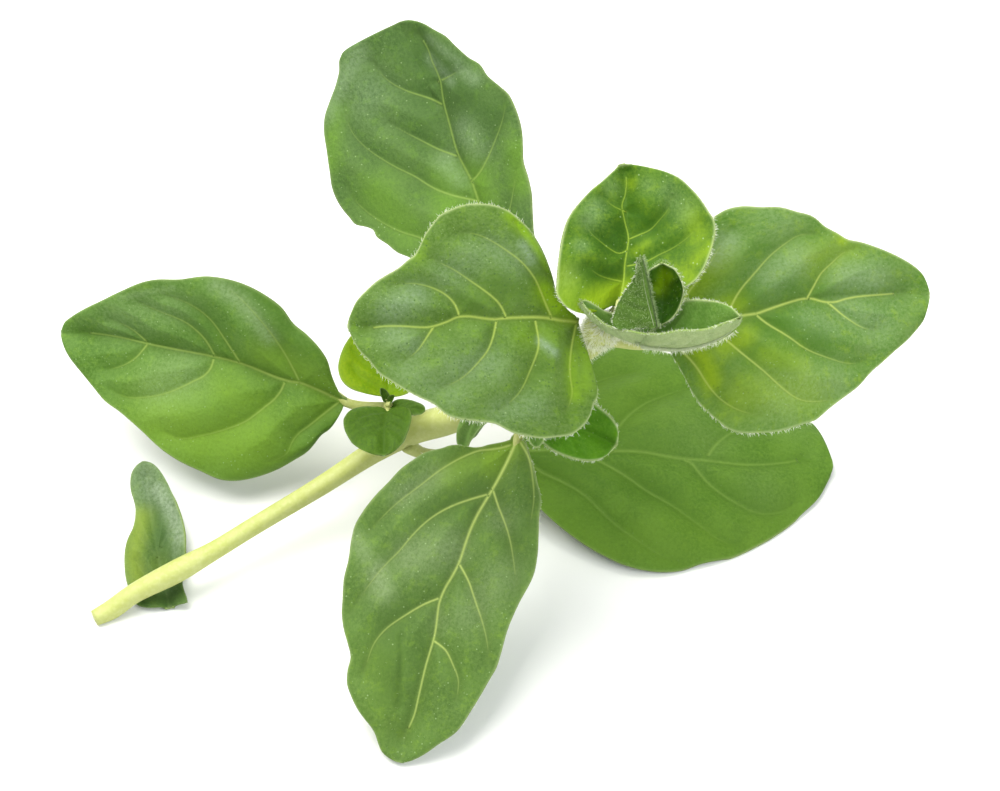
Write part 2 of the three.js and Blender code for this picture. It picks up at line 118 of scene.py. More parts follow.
LEAVES["leaf_1_left"] = dict(
    node=8, base=(23.5, 20.6, 8.8), tip=(-6.1, 28.8, 10.4), face=(-0.18, -0.78, 0.61), arch=1.5, sway=1.7,
    fold=(17, 17), curl=(-14, -14), lobe=1,
    left=[(2, 3.2), (4, 4.2), (6, 5.9), (10, 7.7), (15, 9.4), (21, 10.7), (33, 11.9), (41, 11.6),
        (49, 11.2), (58, 10.3), (67, 8.8), (75, 7.5), (82, 6.5), (87, 5.2), (92, 3.8), (96, 2.6),
        (99, 1.3)],
    right=[(4, 1.1), (8, 2.5), (11, 3.8), (15, 4.8), (20, 5.6), (25, 6.2), (29, 7.2), (35, 8), (46, 8.7),
        (52, 8.6), (60, 7.7), (69, 7), (79, 5.2), (84, 4.2), (90, 3.1), (96, 1.9), (99, 1.1)],
    midrib=[(0, 0), (16, 0.2), (21, -0.1), (37, 0.2), (46, 0.1), (58, -0.1), (70, -0.1), (79, 0.1),
        (87, 0.2), (93, 0.2)],
    veins_left=[[(0.6, 0.2), (2.6, 3.5), (3.7, 5.3), (4.1, 7.3), (5.6, 8.6)], [(6.4, 0.2), (6.6, 1.7),
        (7.8, 3.7), (9.1, 5.4), (11.5, 7.1), (13.5, 8.1), (15.7, 8.9), (17.6, 8.7)], [(14.1, 0.2),
        (14.3, 1.6), (15.9, 3.1), (17.9, 4.5), (20, 5.4), (22.8, 5.9), (24.6, 5.4)], [(21.4, 0.2),
        (22.4, 1.8), (23.9, 2.9), (25.4, 3.4)]],
    veins_right=[[(4.8, 0.1), (7.2, 2.7), (10.2, 5.5), (12.6, 7.1), (14.2, 8)], [(11.3, 0.2), (13.3, 2.4),
        (15.3, 4.3), (17.7, 5.4), (19.7, 5.7)], [(14, 0.1), (15.3, 1.8), (17.5, 3.2), (20.1, 3.8),
        (22.3, 4.4)], [(21.5, 0.1), (23.2, 1.3), (25.2, 2)]],
    glow=[(5, 0.6, (7.6, -7), (13.4, -8), (18, -7.5)), (3.2, 0.5, (12.1, -2.9), (8.5, -4)),
        (2.2, 0.5, (1.5, 1), (5, 1.6), (9, 2)), (2, 0.4, (2, -1), (4.5, -3))],
    bloom=[(0.9, 0.8, (15, 7.9), (12.6, 6.9), (10.6, 5.4), (9.2, 4.1)), (2.6, 0.5, (19.1, -4), (17, -2.4)),
        (2.6, 0.35, (24.5, 2.4), (19, 4.4)), (0.5, 0.5, (24, 4.6), (19, 6.6))],
    dark=[(1.8, 1, (13.4, 9.2), (11.6, 8.2), (10.2, 7.4)), (1.5, 0.6, (9.2, 6.6), (7.6, 5.4), (5, 4)),
        (1, 1, (1, -2.4), (1.6, -5), (2.6, -7.3), (4, -9.6), (6.6, -11.4), (9, -11.8)), (1, 0.5, (19, 1),
        (24, 0.9)), (1.2, 0.4, (17.5, 3.6), (13.4, 3.4))],
    swell=[(14, -6, 4, 0.4), (10.6, 4.4, 2.2, 0.35), (19, -3.6, 2.6, 0.3)],
    roll=[(1, 34, 16, 0.3, 1.6), (0, 14, 10, 0.22, 1.3)],
)
LEAVES["leaf_1_right"] = dict(
    node=8, base=(39.1, 18.1, 4.2), tip=(74.1, 18.7, 0.5), face=(0.11, 0, 0.99), arch=1, sway=0.2,
    fold=(-3, -8), curl=(-10, -10), lobe=1, broad=1.7, stalk=0.75, root=(29.8, 16.4, 7.6), faint=0.5,
    left=[(2, 0.9), (6, 1.4), (9, 2.4), (12, 5.5), (16, 10.4), (20, 13.8), (30, 16.3), (40, 16.8),
        (50, 16.2), (60, 14.8), (69, 13.1), (80, 10.6), (85, 9.3), (93, 7.2), (97, 5.6), (98.5, 4.2)],
    right=[(4, 4), (14, 7.2), (19, 8.9), (25, 10.5), (31, 11.8), (36, 12.7), (43, 13.3), (52, 13.2),
        (59, 12.4), (69, 11.3), (77, 9.7), (85, 7.6), (90, 5.9), (95, 4), (98, 2.1)],
    midrib=[(0, 0), (18, -0.2), (30, -0.2), (42, -0.2), (55, 0.4), (66, 0.6), (75, 0.6), (87, -0.2),
        (92, -1)],
    veins_left=[[(2, 0.2), (3.5, 3.4), (6.5, 7.2), (10.5, 10.4), (15, 12.6)], [(11.8, 0.1), (12.2, 2.4),
        (13.6, 5), (16.2, 7.6), (19.6, 9.7), (22.6, 10.8)], [(21.9, 0), (22.8, 1.6), (24.4, 3.4), (27, 5),
        (29.6, 5.8)]],
    veins_right=[[(2.6, 0.6), (4.5, 2.4), (6.5, 3.5), (9.1, 5.4), (11.7, 7.9), (14.2, 10), (16.7, 11.5),
        (18.8, 12.1)], [(9, 0.1), (10.6, 1), (13.2, 2.7), (15.7, 4.5), (18.3, 6.2), (20.9, 8), (22.9, 9.5),
        (25, 9.9)], [(19.4, 0.5), (20, 0.8), (21.5, 2.8), (24.1, 4.9), (26.7, 6.1), (29.3, 5.8),
        (31, 4.6)]],
    glow=[(3.2, 0.5, (3.4, 5.5), (6, 9), (11, 12)), (3, 0.35, (14, 10.4), (21, 9.6)), (5, 0.35, (14.4, -10),
        (9, -9)), (2.6, 0.3, (27, 8.6), (31, 5))],
    bloom=[(4, 0.3, (21.3, -2.5)), (3, 0.3, (31.5, -5.4)), (3, 0.25, (27.3, 3.5))],
    dark=[(1.6, 0.7, (3, 1.6), (9, 2.4)), (1.8, 0.6, (13.6, 3.4), (18, 5)), (1.8, 0.5, (12.4, -1.4),
        (20, -1.4)), (1.6, 0.5, (24.4, 4.4), (27.6, 5.8)), (1.4, 0.4, (22.6, -4), (27, -3.4)),
        (1.2, 0.35, (7, 6), (11.6, 9.4))],
    swell=[(26, 3, 2.8, 0.45), (16, 9, 3, 0.4), (19, -4, 4, 0.4), (8, 5.5, 2.5, 0.4)],
)
LEAVES["leaf_2_back"] = dict(
    node=11, base=(39.6, 23.8, 25.5), tip=(29.4, 45, 39.1), face=(-0.36, -0.61, 0.71), arch=-1.5, sway=-0.3,
    fold=(20, 20), curl=(-16, -16), lobe=1,
    left=[(2, 4.4), (6, 6), (12, 7.3), (19, 8.2), (22, 9), (27, 9.8), (31, 10.5), (34.5, 10.7), (36, 11.1),
        (38, 11.9), (42, 12.4), (49, 12.9), (54, 12.9), (61, 12.4), (68, 11.9), (75, 11.4), (80, 10.7),
        (84, 9.7), (88, 8.6), (92, 7.7), (97, 6.9), (99, 5.8)],
    right=[(2, 4.2), (9, 5.3), (15, 5.9), (20, 6.4), (27, 6.7), (32, 6.8), (37, 7.4), (42, 7.9), (52, 8.2),
        (57, 8.1), (63, 7.5), (67, 7), (73, 6.6), (77, 5.8), (83, 5), (88, 4.4), (92, 3.5), (97, 2.2)],
    midrib=[(0, 0), (15, 0.1), (27, 0.3), (36, 0.45), (47, 0.2), (58, 0.6), (67, 1), (75, 1.65), (81, 1.6),
        (88, 1.75), (93, 1.5)],
    veins_left=[[(18, -0.7), (19.2, 0.5), (20.6, 2.1), (21.9, 3.2), (23.1, 3.8), (24.7, 4.2)], [(12.6, 0),
        (14, 1.5), (15.8, 3), (16.9, 3.9), (18.4, 5)], [(7.6, -0.2), (9, 1.8), (10.5, 3.4), (12.5, 4.8),
        (13.8, 5.9), (15.3, 7), (16.9, 8), (18.5, 8.7), (20.2, 8.9), (21.7, 8.6)], [(2, 0.2), (4, 4),
        (6.5, 6.5), (8, 8.2), (10.4, 10.1), (12.7, 11.2), (14.4, 11.4)]],
    veins_right=[[(20.2, 1.3), (20.1, 3.2), (20.2, 4.5)], [(9.6, 0.3), (9.9, 1.6), (10.9, 3.4), (12.1, 4.9),
        (13.2, 6.1), (14.4, 7.1), (15.6, 7.6)], [(2.5, 0.1), (4, 2.4), (6, 4.2), (8.4, 5.8)]],
    glow=[(2.2, 0.6, (4, 0), (8, 1), (10.3, 1.4)), (2.4, 0.6, (10.5, -1.4), (7, -3)), (2.6, 0.5, (7, -7.5),
        (12, -8.6)), (1.2, 0.4, (17, -12), (22, -9.4)), (1.4, 0.5, (10.1, 6.8), (7, 5.6))],
    bloom=[(0.7, 0.5, (22.6, 1.6), (19.6, 3)), (0.8, 0.5, (20.4, 4.4), (18.6, 5.6)), (0.6, 0.4, (24.4, 2.6),
        (21, 4.6)), (1.6, 0.45, (14.4, 2.2), (12, 2.8)), (1.2, 0.45, (12.6, -1.2), (10.4, -0.8)),
        (3, 0.3, (22, -6)), (1.2, 0.5, (26, -5), (22, -10.4))],
    dark=[(2.4, 0.9, (23.4, 1.2), (20.5, 2.6), (17.4, 3.4)), (1.6, 0.7, (16.4, 2.4), (14.6, 5.4)),
        (1.6, 0.6, (20, -0.8), (16.6, -1.4)), (1.3, 0.4, (13, -0.4), (10, 0.6))],
    swell=[(12.5, 2.6, 2.2, 0.4), (19, 4.5, 2.4, 0.4), (15, -8, 4, 0.35)],
)
LEAVES["leaf_2_front"] = dict(
    node=11, base=(41.1, 9.8, 16.5), tip=(29.7, -17.4, 0.3), face=(-0.04, -0.49, 0.87), arch=1.2, sway=1,
    fold=(12, 12), curl=(-12, -12), lobe=1,
    left=[(1, 1), (4, 1.9), (7, 2.8), (11, 3.8), (16, 5), (20, 5.4), (26, 6.2), (31, 6.8), (37, 7.2),
        (45, 6.9), (55, 6.7), (61, 6.8), (66, 6.8), (72, 6.4), (80, 5.7), (88, 4.7), (92, 3.5), (96, 2.3),
        (99, 1)],
    right=[(3, 0.9), (6, 2.1), (9, 3.3), (11, 5), (14, 6.2), (17, 7.4), (20, 8.1), (24, 8.9), (28, 9.4),
        (33, 10.1), (38, 10.6), (42, 10.8), (46, 10.6), (51, 10.2), (56, 10), (61, 9.5), (65, 9.1),
        (69, 8.4), (72, 7.7), (75, 7.1), (79, 7), (83, 6.6), (85, 6.1), (88, 5.2), (93, 3.1), (96, 2.4),
        (98, 1.9)],
    midrib=[(0, 0), (7, -0.2), (17, -0.1), (24, 0.2), (31, 0.3), (41, 0.1), (46, 0.3), (52, 0.6), (57, 0.3),
        (64, -0.1), (70, -0.1), (76, -0.2), (82, -0.3), (88, -0.3), (93, 0.2)],
    veins_left=[[(0.2, 0.3), (1.4, 1.8), (3.2, 3.1), (5.5, 4.3), (8, 5)], [(5.6, 0), (7.1, 1.3), (8.7, 2.8),
        (10, 3.8), (12.2, 5.1), (14.4, 6.2)], [(13.8, 0), (15, 1.4), (16.6, 2.7), (18.7, 4.3), (20.4, 5.3),
        (22.2, 6)], [(21.6, 0.1), (22.1, 1.5), (23.3, 2.7), (24.5, 3.6), (26.4, 4)]],
    veins_right=[[(0.9, 0.2), (2, 1.3), (3, 2.7), (4.6, 4.1), (6.5, 5.4), (8.5, 6.5), (11.1, 8), (14, 9.3)],
        [(6.3, 0), (7.6, 1.5), (9.1, 3), (10.9, 4.3), (13, 5.3), (14.7, 5.9), (16.4, 6.7), (19.2, 7.7),
        (21.3, 8.3)], [(17.4, 0.5), (18.5, 1.8), (20.2, 3.3), (22.1, 4.7), (23.7, 5.3), (25.1, 5.4),
        (26.3, 5.5)]],
    glow=[(1.6, 0.7, (0.5, 0.3), (3.5, 1.2)), (1.4, 0.4, (3.5, 2), (6.5, 4.6)), (2.2, 0.1, (25, 4.8),
        (30, 2.4))],
    bloom=[(1.3, 0.75, (18.6, 6), (17.2, 7.2)), (0.9, 0.55, (16.4, 8.6), (15.2, 10.2)),
        (2, 0.6, (12.6, 1.4), (15, 4.6)), (1.4, 0.5, (10, 7.6), (7, 5.6)), (2.2, 0.4, (18, -2.6),
        (13.6, -4.4)), (1.6, 0.4, (8.4, -2.2)), (1.6, 0.3, (19.5, -0.4))],
    dark=[(1.8, 0.8, (20.6, 4.2), (24.6, 3.4), (27.4, 2.4)), (1.2, 0.5, (9, -4.4), (12, -5.4), (15, -6.2)),
        (0.9, 0.35, (21.5, 1.4), (25, 0.8)), (1.2, 0.4, (6, 1.6), (9.6, 4)), (0.3, 1, (21.8, 3.1),
        (25.1, 2.1), (28.4, 1.2))],
    swell=[(24, 4.6, 2.4, 0.35), (12, 3, 3, 0.3), (18, 6.5, 2, 0.3)],
    crease=[[(22.2, 2.9), (24.7, 2.1), (27, 1.6), (28.6, 1.3)]],
)
LEAVES["leaf_3_left"] = dict(
    node=13, base=(46.8, 10, 33.3), tip=(25.5, 5.8, 37.4), face=(0.28, -0.55, 0.78), arch=1.5, sway=0.2,
    fold=(9, 9), curl=(-16, -16), lobe=3, join=0.1,
    left=[(0.4, 5), (2, 6.9), (5, 7.9), (7, 8.8), (11, 9.9), (15, 10.6), (21, 10.9), (26, 11), (31, 10.8),
        (37, 10.4), (42, 9.7), (49, 9.4), (57, 9.1), (62, 8.7), (67, 7.7), (73, 7), (79, 6.2), (84, 5.4),
        (89, 4.5), (92, 3.5), (96, 2.4), (99, 0.9)],
    right=[(2, 0.7), (7, 1.5), (11, 2.6), (14, 4.3), (18, 6.1), (22, 7.5), (26, 8.6), (30, 9.4), (34, 10.1),
        (39, 10.6), (45, 10.8), (51, 10.7), (57, 10.2), (61, 9.7), (64, 8.9), (67, 8), (69, 7.1), (71, 6.3),
        (74, 5.8), (78, 5.1), (83, 4.5), (87, 4), (92, 3.1), (96, 2.2), (98, 1.4)],
    midrib=[(0, 0), (9, 0.1), (16, 0.3), (34, 0.2), (39, 0.1), (54, 0.4), (60, -0.1), (67, -0.5),
        (79, -0.3), (85, -0.2), (93, -0.3)],
    veins_left=[[(0.3, 0.2), (1.2, 2.2), (2, 4.6), (2.4, 6.9), (3.3, 8.5)], [(4.5, 0), (4.5, 1.9), (5, 3.3),
        (5.8, 4.9), (6.7, 6.4), (7.4, 7.2), (8.9, 8.4)], [(8.4, 0), (8.8, 1.4), (9.5, 2.8), (10.5, 3.9),
        (11.8, 5.1), (12.8, 5.7), (14.2, 6.2)], [(14.4, 0.5), (15.3, 1.7), (16, 2.6), (17.2, 3.5)]],
    veins_right=[[(2.8, 0.2), (3.8, 1.9), (4.9, 3.8), (6.4, 5.4), (7.8, 6.5), (9.1, 7.4), (10.4, 8),
        (11.7, 8.1)], [(7.4, 0.2), (8.1, 1.4), (9.5, 2.6), (10.9, 3.7), (12.3, 4.7), (13.6, 5.4),
        (14.3, 5.8)], [(11.9, 0.4), (12.3, 1.5), (13.1, 2.4), (14.6, 3.2), (16.3, 3.6), (17.7, 3.5)]],
    glow=[(0.7, 0.8, (7.4, 9.6), (5.9, 7.9), (4.6, 6.5), (3.6, 5.2)), (1.1, 0.9, (4, 2.7), (2.2, 1.2),
        (0.8, 0.6)), (0.75, 0.6, (1.6, -3.3), (2, -5.2), (2.2, -7)), (0.8, 0.5, (0.3, -1.9), (0.4, -4),
        (1.3, -6.2)), (0.8, 0.4, (15.5, 6.1)), (1.4, 0.3, (6, -1.6), (3.4, -1.4)), (1.2, 0.4, (2.6, 4.2),
        (3.6, 6.2))],
    bloom=[(1.5, 0.6, (18.2, 1.2), (16, 2.4)), (1.5, 0.45, (16.6, -2.2), (18, -1)), (1.9, 0.4, (9.5, -4.2),
        (12.8, -4.6)), (0.5, 1, (4.4, -2), (3.4, -3)), (1.6, 0.4, (9, 6.6), (7, 5.4)), (1.5, 0.35, (6, -8),
        (9, -8.6)), (1.8, 0.35, (13, 4.2), (10.4, 6)), (0.6, 0.8, (5.6, 5.6), (6.4, 7)),
        (2, 0.3, (17, -4.6), (13, -7))],
    dark=[(1.1, 0.9, (6.6, 2.7), (8.6, 3.5)), (0.7, 0.6, (4.6, 3.2), (6, 4.6)), (0.7, 0.8, (10.2, 1.3),
        (12, 2.2)), (0.6, 0.5, (15, 2.6), (16.4, 3.4)), (0.7, 0.5, (9.4, -0.9), (8.6, -2.8)),
        (0.8, 0.5, (4.4, -4.4), (6, -5.6)), (0.9, 0.4, (13.4, -0.6), (12.4, -2.4)), (0.35, 0.9, (7.3, 8.4),
        (5.9, 6.7), (4.4, 5), (3.2, 3.8))],
    swell=[(17, 1.2, 1.8, 0.45), (9.5, 2.2, 1.4, 0.3), (6, 5.6, 2.4, 0.4), (16.5, -2, 2, 0.3),
        (11, -4, 2, 0.3), (4.5, -3, 1.4, 0.35)],
    roll=[(1, 16, 16, 0.35, 1)],
    crease=[[(7, 9.1), (6.2, 7.6), (4.7, 5.4), (3.2, 3.4), (2.3, 2)]],
)
LEAVES["leaf_3_right"] = dict(
    node=13, base=(55, 11.1, 29.5), tip=(80.6, 17.3, 28.9), face=(0.17, -0.64, 0.75), arch=1.2, sway=-1.6,
    fold=(11, 11), curl=(-14, -14), lobe=3,
    left=[(4, 3.6), (15, 6.8), (22, 8.4), (31, 9.6), (34, 9.9), (38, 9.9), (44, 9.4), (49, 9.1), (54, 8.4),
        (59, 7.7), (62, 6.8), (66, 6), (69, 5.4), (74, 5), (81, 4.3), (88, 3.5), (93, 2.8), (97, 2)],
    right=[(1, 1.6), (4, 3.9), (6, 5.5), (8, 6.7), (11, 8), (14, 9.1), (17, 10.1), (20, 10.7), (26, 11.3),
        (33, 11.7), (45, 11.6), (49, 11.5), (56, 10.6), (63, 9.7), (70, 8.7), (75, 7.6), (80, 6.7),
        (85, 5.7), (90, 4.7), (95, 3.4), (98, 2.4)],
    midrib=[(0, 0), (12, 0.1), (28, 0.2), (34, 0.4), (41, 0.2), (51, -0.1), (54, -0.1), (62, 0.6),
        (70, 0.3), (82, 0.1), (90, -0.1)],
    veins_left=[[(14.1, 0), (15, 1.3), (15.7, 2.3), (16.8, 3.2), (18, 4.1), (19, 4.4)], [(6.2, 0),
        (7.1, 1.2), (8.1, 2.2), (9.8, 3.5), (11.3, 4.7), (12.8, 5.6), (14.2, 6.2), (15.5, 6.1)],
        [(1.2, 0.2), (2.2, 1.8), (4.1, 3.6), (5.3, 4.4), (7.1, 6.1), (8.8, 7.8)]],
    veins_right=[[(0.3, 0.2), (1.3, 1.7), (2.2, 3.3), (3.3, 5.9), (4.4, 7.6), (6.1, 9.1), (7.5, 9.8)],
        [(4.2, 0.2), (5.1, 1.4), (6.6, 3.5), (8.6, 6), (10.3, 8.1), (11.7, 9.3), (13.8, 9.8), (15.5, 9.7)],
        [(8.8, 0.3), (9.6, 1.4), (11.3, 3), (13, 4.6), (15, 5.7), (17.6, 6.6), (19.3, 6.5)], [(16, 0.4),
        (17.6, 2.1), (19.1, 3.2), (20.6, 3.6)]],
    glow=[(1.1, 0.75, (2.4, 1.4), (3.2, 3), (3.5, 5.4)), (1.4, 0.6, (4, -0.7), (7, -0.8)),
        (1.2, 0.6, (5, 2.6), (7.4, 2.2)), (1.6, 0.5, (4, -3.6), (6.5, -5.4)), (0.7, 0.7, (17.8, -5.2)),
        (2.2, 0.4, (6, 7.4), (12.5, 8.7)), (1.4, 0.35, (12, 6.2), (9, 4.6)), (1.6, 0.3, (15, -3.4),
        (18, -4.4))],
    bloom=[(1.8, 0.7, (20.4, -1.4), (18, -1.8)), (1.6, 0.6, (13.4, -3.8), (11, -2.8)), (1, 0.8, (8.4, -7),
        (6.8, -5.6)), (2.2, 0.5, (20.6, 3), (18, 1.4)), (1.4, 0.4, (13.7, 1.8), (16, 3)),
        (2.6, 0.35, (9.5, 8.6), (15, 8.2)), (2, 0.3, (12.6, -8)), (2, 0.3, (22.4, 0.4))],
    dark=[(1.5, 1, (9.4, 1.2), (12.6, 2.2), (14.8, 4)), (0.8, 0.8, (8, 3.2), (11.6, 6.2)),
        (1.3, 0.8, (8.6, -1.2), (12.8, -1.8)), (0.9, 0.6, (15.2, -0.6), (18, -0.5)), (1, 0.5, (7.4, -4.2),
        (10.4, -5.6)), (0.8, 0.4, (5, 4.4), (7, 7.4))],
    swell=[(12.5, 3.6, 2, 0.35), (20, -0.4, 2, 0.4), (19, 3.4, 2.4, 0.4), (12.5, -3, 2, 0.35),
        (7.8, -5.4, 1.6, 0.4)],
)
LEAVES["leaf_4_back"] = dict(
    node=14, base=(50.4, 9.2, 36.9), tip=(50.8, 21.1, 43), face=(0, -0.46, 0.89), arch=-1, sway=0.7,
    fold=(17, 17), curl=(8, 8), lobe=2, heel=2,
    left=[(0.5, 2.6), (2, 4.8), (4, 5.7), (12, 6.3), (18, 6.5), (32, 6.6), (48, 6.4), (63, 5.8), (75, 4.7),
        (84, 3.5), (91, 2.1), (96, 1.1)],
    right=[(4, 2.4), (10, 4.2), (16, 5.7), (22, 7), (28, 7.6), (35, 8), (42, 8.3), (50, 8.5), (56, 8.4),
        (63, 7.8), (71, 7.1), (79, 6.2), (86, 5.2), (91, 4), (95, 2.6), (98, 1.4)],
    midrib=[(0, 0), (18, 0), (29, -0.1), (40, 0), (49, 0.1), (58, -0.2), (65, -0.4), (72, -0.5), (79, -0.1),
        (89, 0.2), (94, 0.2)],
    veins_left=[[(2.2, 0), (2.3, 1.3), (2.5, 2.5), (3, 3.6)], [(5.4, 0), (4.9, 0.7), (5.2, 1.7), (5.8, 2.7),
        (6.6, 3.7), (7.8, 4.2)], [(9, 0.1), (9.6, 1.4), (10.6, 2.4)]],
    veins_right=[[(3.8, 0.1), (4.2, 1.8), (4.9, 3.2), (5.5, 4.6), (6.5, 6.1), (7.5, 7)], [(6.4, 0.1),
        (6.8, 1.2), (7.2, 2.2), (8, 3.1), (8.8, 3.9), (9.7, 4.4)]],
    glow=[(1, 0.8, (0.3, -3), (0.9, -1.3), (1.6, 0.4), (1.4, 2.2)), (0.8, 0.55, (3.2, 4), (3.2, 6.4)),
        (0.7, 0.5, (4.2, 6.6), (5.4, 8)), (0.5, 0.35, (5.2, 0.7), (5.8, 1.9)), (1.3, 0.5, (0.8, -5),
        (2, -5.8)), (1, 0.4, (8, 6.2), (6.4, 7)), (0.6, 0.4, (11.6, 0.6))],
    bloom=[(1.2, 0.6, (9.4, -3.2), (8, -4)), (1.2, 0.4, (8.6, 5.6), (10.4, 4)), (1, 0.4, (11.4, -1.4)),
        (0.9, 0.5, (5, -4.6)), (1.2, 0.3, (2, -5.4)), (1, 0.3, (11.2, 2.2))],
    dark=[(0.9, 1, (7.4, -0.9), (6, -1.2), (5.4, -2.4)), (0.7, 1, (2.6, -5), (2.3, -2.8), (2.8, -1)),
        (0.9, 1, (9.6, 0.4), (8.2, 1.4), (7.2, 2.6)), (0.5, 0.8, (5.9, 0.4), (6.2, 1)), (0.5, 0.6, (7, 3.2),
        (8.4, 4.3))],
    swell=[(8, -2.6, 1.8, 0.5), (9.6, 2.4, 1.8, 0.5), (4.3, -3.2, 1.3, 0.55), (6.5, 5, 2, 0.3)],
)

# Young leaves: left and right are half-widths at seven stations from base to tip. Three outlines recur.
ROUND = (0.5, 0.85, 1, 0.98, 0.86, 0.66, 0.36)
OVAL = (0.36, 0.7, 0.93, 1, 0.9, 0.64, 0.32)
BLUNT = (0.5, 0.85, 1, 1, 0.92, 0.76, 0.48)


def widths(outline, left, right):
    return dict(left=[left * w for w in outline], right=[right * w for w in outline])


SHOOTS = [
    dict(
        name="side_shoot_lower", slot="young_leaf", radius=0.5,
        stalk=[(29.5, 16.9, 9.6), (28.7, 16.9, 11.4), (28.3, 16.8, 12.6), (28.1, 16.8, 13.4)],
        leaves=[
            dict(base=(28.1, 16.3, 12.9), tip=(27.9, 9.8, 13.5), face=(-0.09, 0.08, 0.99), arch=0.6,
                 fold=(14, 14), curl=(-20, -20), lobe=1, **widths(ROUND, 2.6, 4.2),
                 tint="shaded", faint=0.35),
            dict(base=(28.1, 17.5, 13.3), tip=(28.4, 25.9, 15.9), face=(0.01, -0.43, 0.9), arch=-0.5,
                 fold=(12, 12), curl=(-8, -8), lobe=0.5, **widths(ROUND, 5.2, 3.0), tint="sunlit"),
            dict(base=(28.4, 16.8, 13.0), tip=(31.9, 15.3, 13.9), face=(-0.06, -0.25, 0.96), arch=0.2,
                 fold=(10, 10), curl=(-10, -10), **widths(BLUNT, 0.8, 0.9),
                 tint="shaded", stalk=0.15, faint=0.2),
            dict(base=(28.0, 16.9, 13.3), tip=(27.4, 17.7, 14.6), face=(0.5, -0.5, 0.7), arch=-0.1,
                 fold=(30, 30), curl=(20, 20), **widths(ROUND, 0.6, 0.6), tint="shaded", stalk=0.1, faint=0),
            dict(base=(28.2, 16.8, 13.3), tip=(28.8, 17.0, 14.3), face=(-0.5, -0.4, 0.75), arch=-0.1,
                 fold=(30, 30), curl=(20, 20), **widths(ROUND, 0.5, 0.5), tint="shaded", stalk=0.1, faint=0),
        ],
    ),
    dict(
        name="side_shoot_upper", slot="young_leaf", radius=0.5,
        stalk=[(42.5, 12.6, 19.4), (42.7, 11.0, 20.0), (42.7, 9.8, 21.2), (42.7, 9.5, 22.0)],
        leaves=[
            dict(base=(42.4, 10.2, 20.8), tip=(35.6, 12.0, 11.4), face=(-0.21, -0.57, 0.79),
                 arch=0.3, sway=2.2,
                 fold=(10, 10), curl=(-10, -10), **widths(BLUNT, 1.2, 1.6), tint="dusky", faint=0.2),
            dict(base=(42.7, 9.7, 21.2), tip=(42.9, 4.8, 21.0), face=(0.01, -0.27, 0.96), arch=0.3,
                 fold=(14, 14), curl=(0, 0), **widths(OVAL, 1.3, 1.3), tint="downy", fringe=9),
            dict(base=(43.0, 9.6, 21.7), tip=(50.7, 6.5, 19.3), face=(0.11, -0.6, 0.79), arch=-0.8,
                 fold=(22, 22), curl=(10, 10), **widths(BLUNT, 2.9, 3.7), tint="tender", fringe=10),
        ],
    ),
    dict(
        name="shoot_tip", slot="downy_tip", radius=0.65,
        stalk=[(49.8, 7.7, 35.2), (51.4, 6.6, 35.3), (53.2, 6.0, 35.3), (54.8, 5.6, 35.5)],
        leaves=[
            dict(base=(52.3, 5.7, 35.5), tip=(61.3, 4.7, 39.9), face=(0, 0.16, 0.98), arch=-1.7,
                 fold=(48, 56), curl=(24, 20), left=(0.8, 1.8, 3.4, 4.0, 3.7, 2.9, 1.7),
                 right=(2.0, 2.5, 2.9, 2.9, 2.3, 1.5, 0.8), tint="downy", fringe=16, stalk=0.3, faint=0.3),
            dict(base=(54.2, 5.6, 35.4), tip=(46.7, 7.8, 38.6), face=(0.1, 0.2, 0.97), arch=-1.5,
                 fold=(48, 50), curl=(16, 16), left=(2.0, 2.5, 2.5, 2.0, 1.4, 0.9, 0.5),
                 right=(2.4, 3.1, 3.1, 2.2, 1.4, 1.0, 0.6), tint="downy", fringe=16, stalk=0.25, faint=0.3),
            dict(base=(53.5, 5.4, 37.8), tip=(52.0, 7.9, 44.5), face=(0.1, 0.52, -0.85), arch=0.6,
                 fold=(80, 6), curl=(0, -10), left=(0.6, 0.9, 1.1, 1.0, 0.8, 0.6, 0.3),
                 right=(2.9, 3.7, 3.2, 2.2, 1.0, 0.55, 0.35), tint="backed", fringe=14,
                 stalk=0.03, faint=0.1),
            # Its glow patch is painted light shining through at the base of the hood.
            dict(base=(54.1, 6.2, 37.3), tip=(54.1, 9.3, 42.3), face=(0.05, -0.44, 0.9), arch=-1.2, sway=0.3,
                 fold=(16, 20), curl=(30, 60), left=(1.0, 1.9, 2.2, 2.2, 2.2, 2.0, 1.4),
                 right=(0.9, 1.7, 2.2, 2.5, 2.6, 2.2, 1.4), tint="hooded", fringe=14, stalk=0.1, faint=0.2,
                 glow=[(0.8, 1.0, (3.2, -0.4), (4.6, 0.3))]),
        ],
    ),
]


# ---- Curves ----
def unit(v):
    return v / np.linalg.norm(v, axis=-1, keepdims=True)


def bell(distance, reach):
    """1 at no distance, fading softly to nothing past the reach."""
    return np.exp(-(distance / reach) ** 2)


def smooth(x, knots, values):
    """A smooth curve through values at the knots, read at x."""
    knots, values = np.asarray(knots, float), np.asarray(values, float)
    slope = np.gradient(values, knots, axis=0)
    i = np.clip(np.searchsorted(knots, x, side="right") - 1, 0, len(knots) - 2)
    step = knots[i + 1] - knots[i]
    f = (x - knots[i]) / step
    if values.ndim > 1:
        f, step = f[:, None], step[:, None]
    return ((1 + 2 * f) * (1 - f) ** 2 * values[i] + f * (1 - f) ** 2 * step * slope[i]
            + f * f * (3 - 2 * f) * values[i + 1] + f * f * (f - 1) * step * slope[i + 1])


def knots_of(points):
    """Knots for a smooth curve through points, a little closer than the points where those lie far apart."""
    return np.concatenate([[0], np.cumsum(np.linalg.norm(np.diff(points, axis=0), axis=1) ** 0.7)])


def path_through(points, count):
    """Points spaced along a smooth path through the given ones, and how far along each is, 0 to 1."""
    points = np.asarray(points, float)
    knots = knots_of(points)
    places = np.linspace(0, knots[-1], count)
    return smooth(places, knots, points), places / knots[-1]


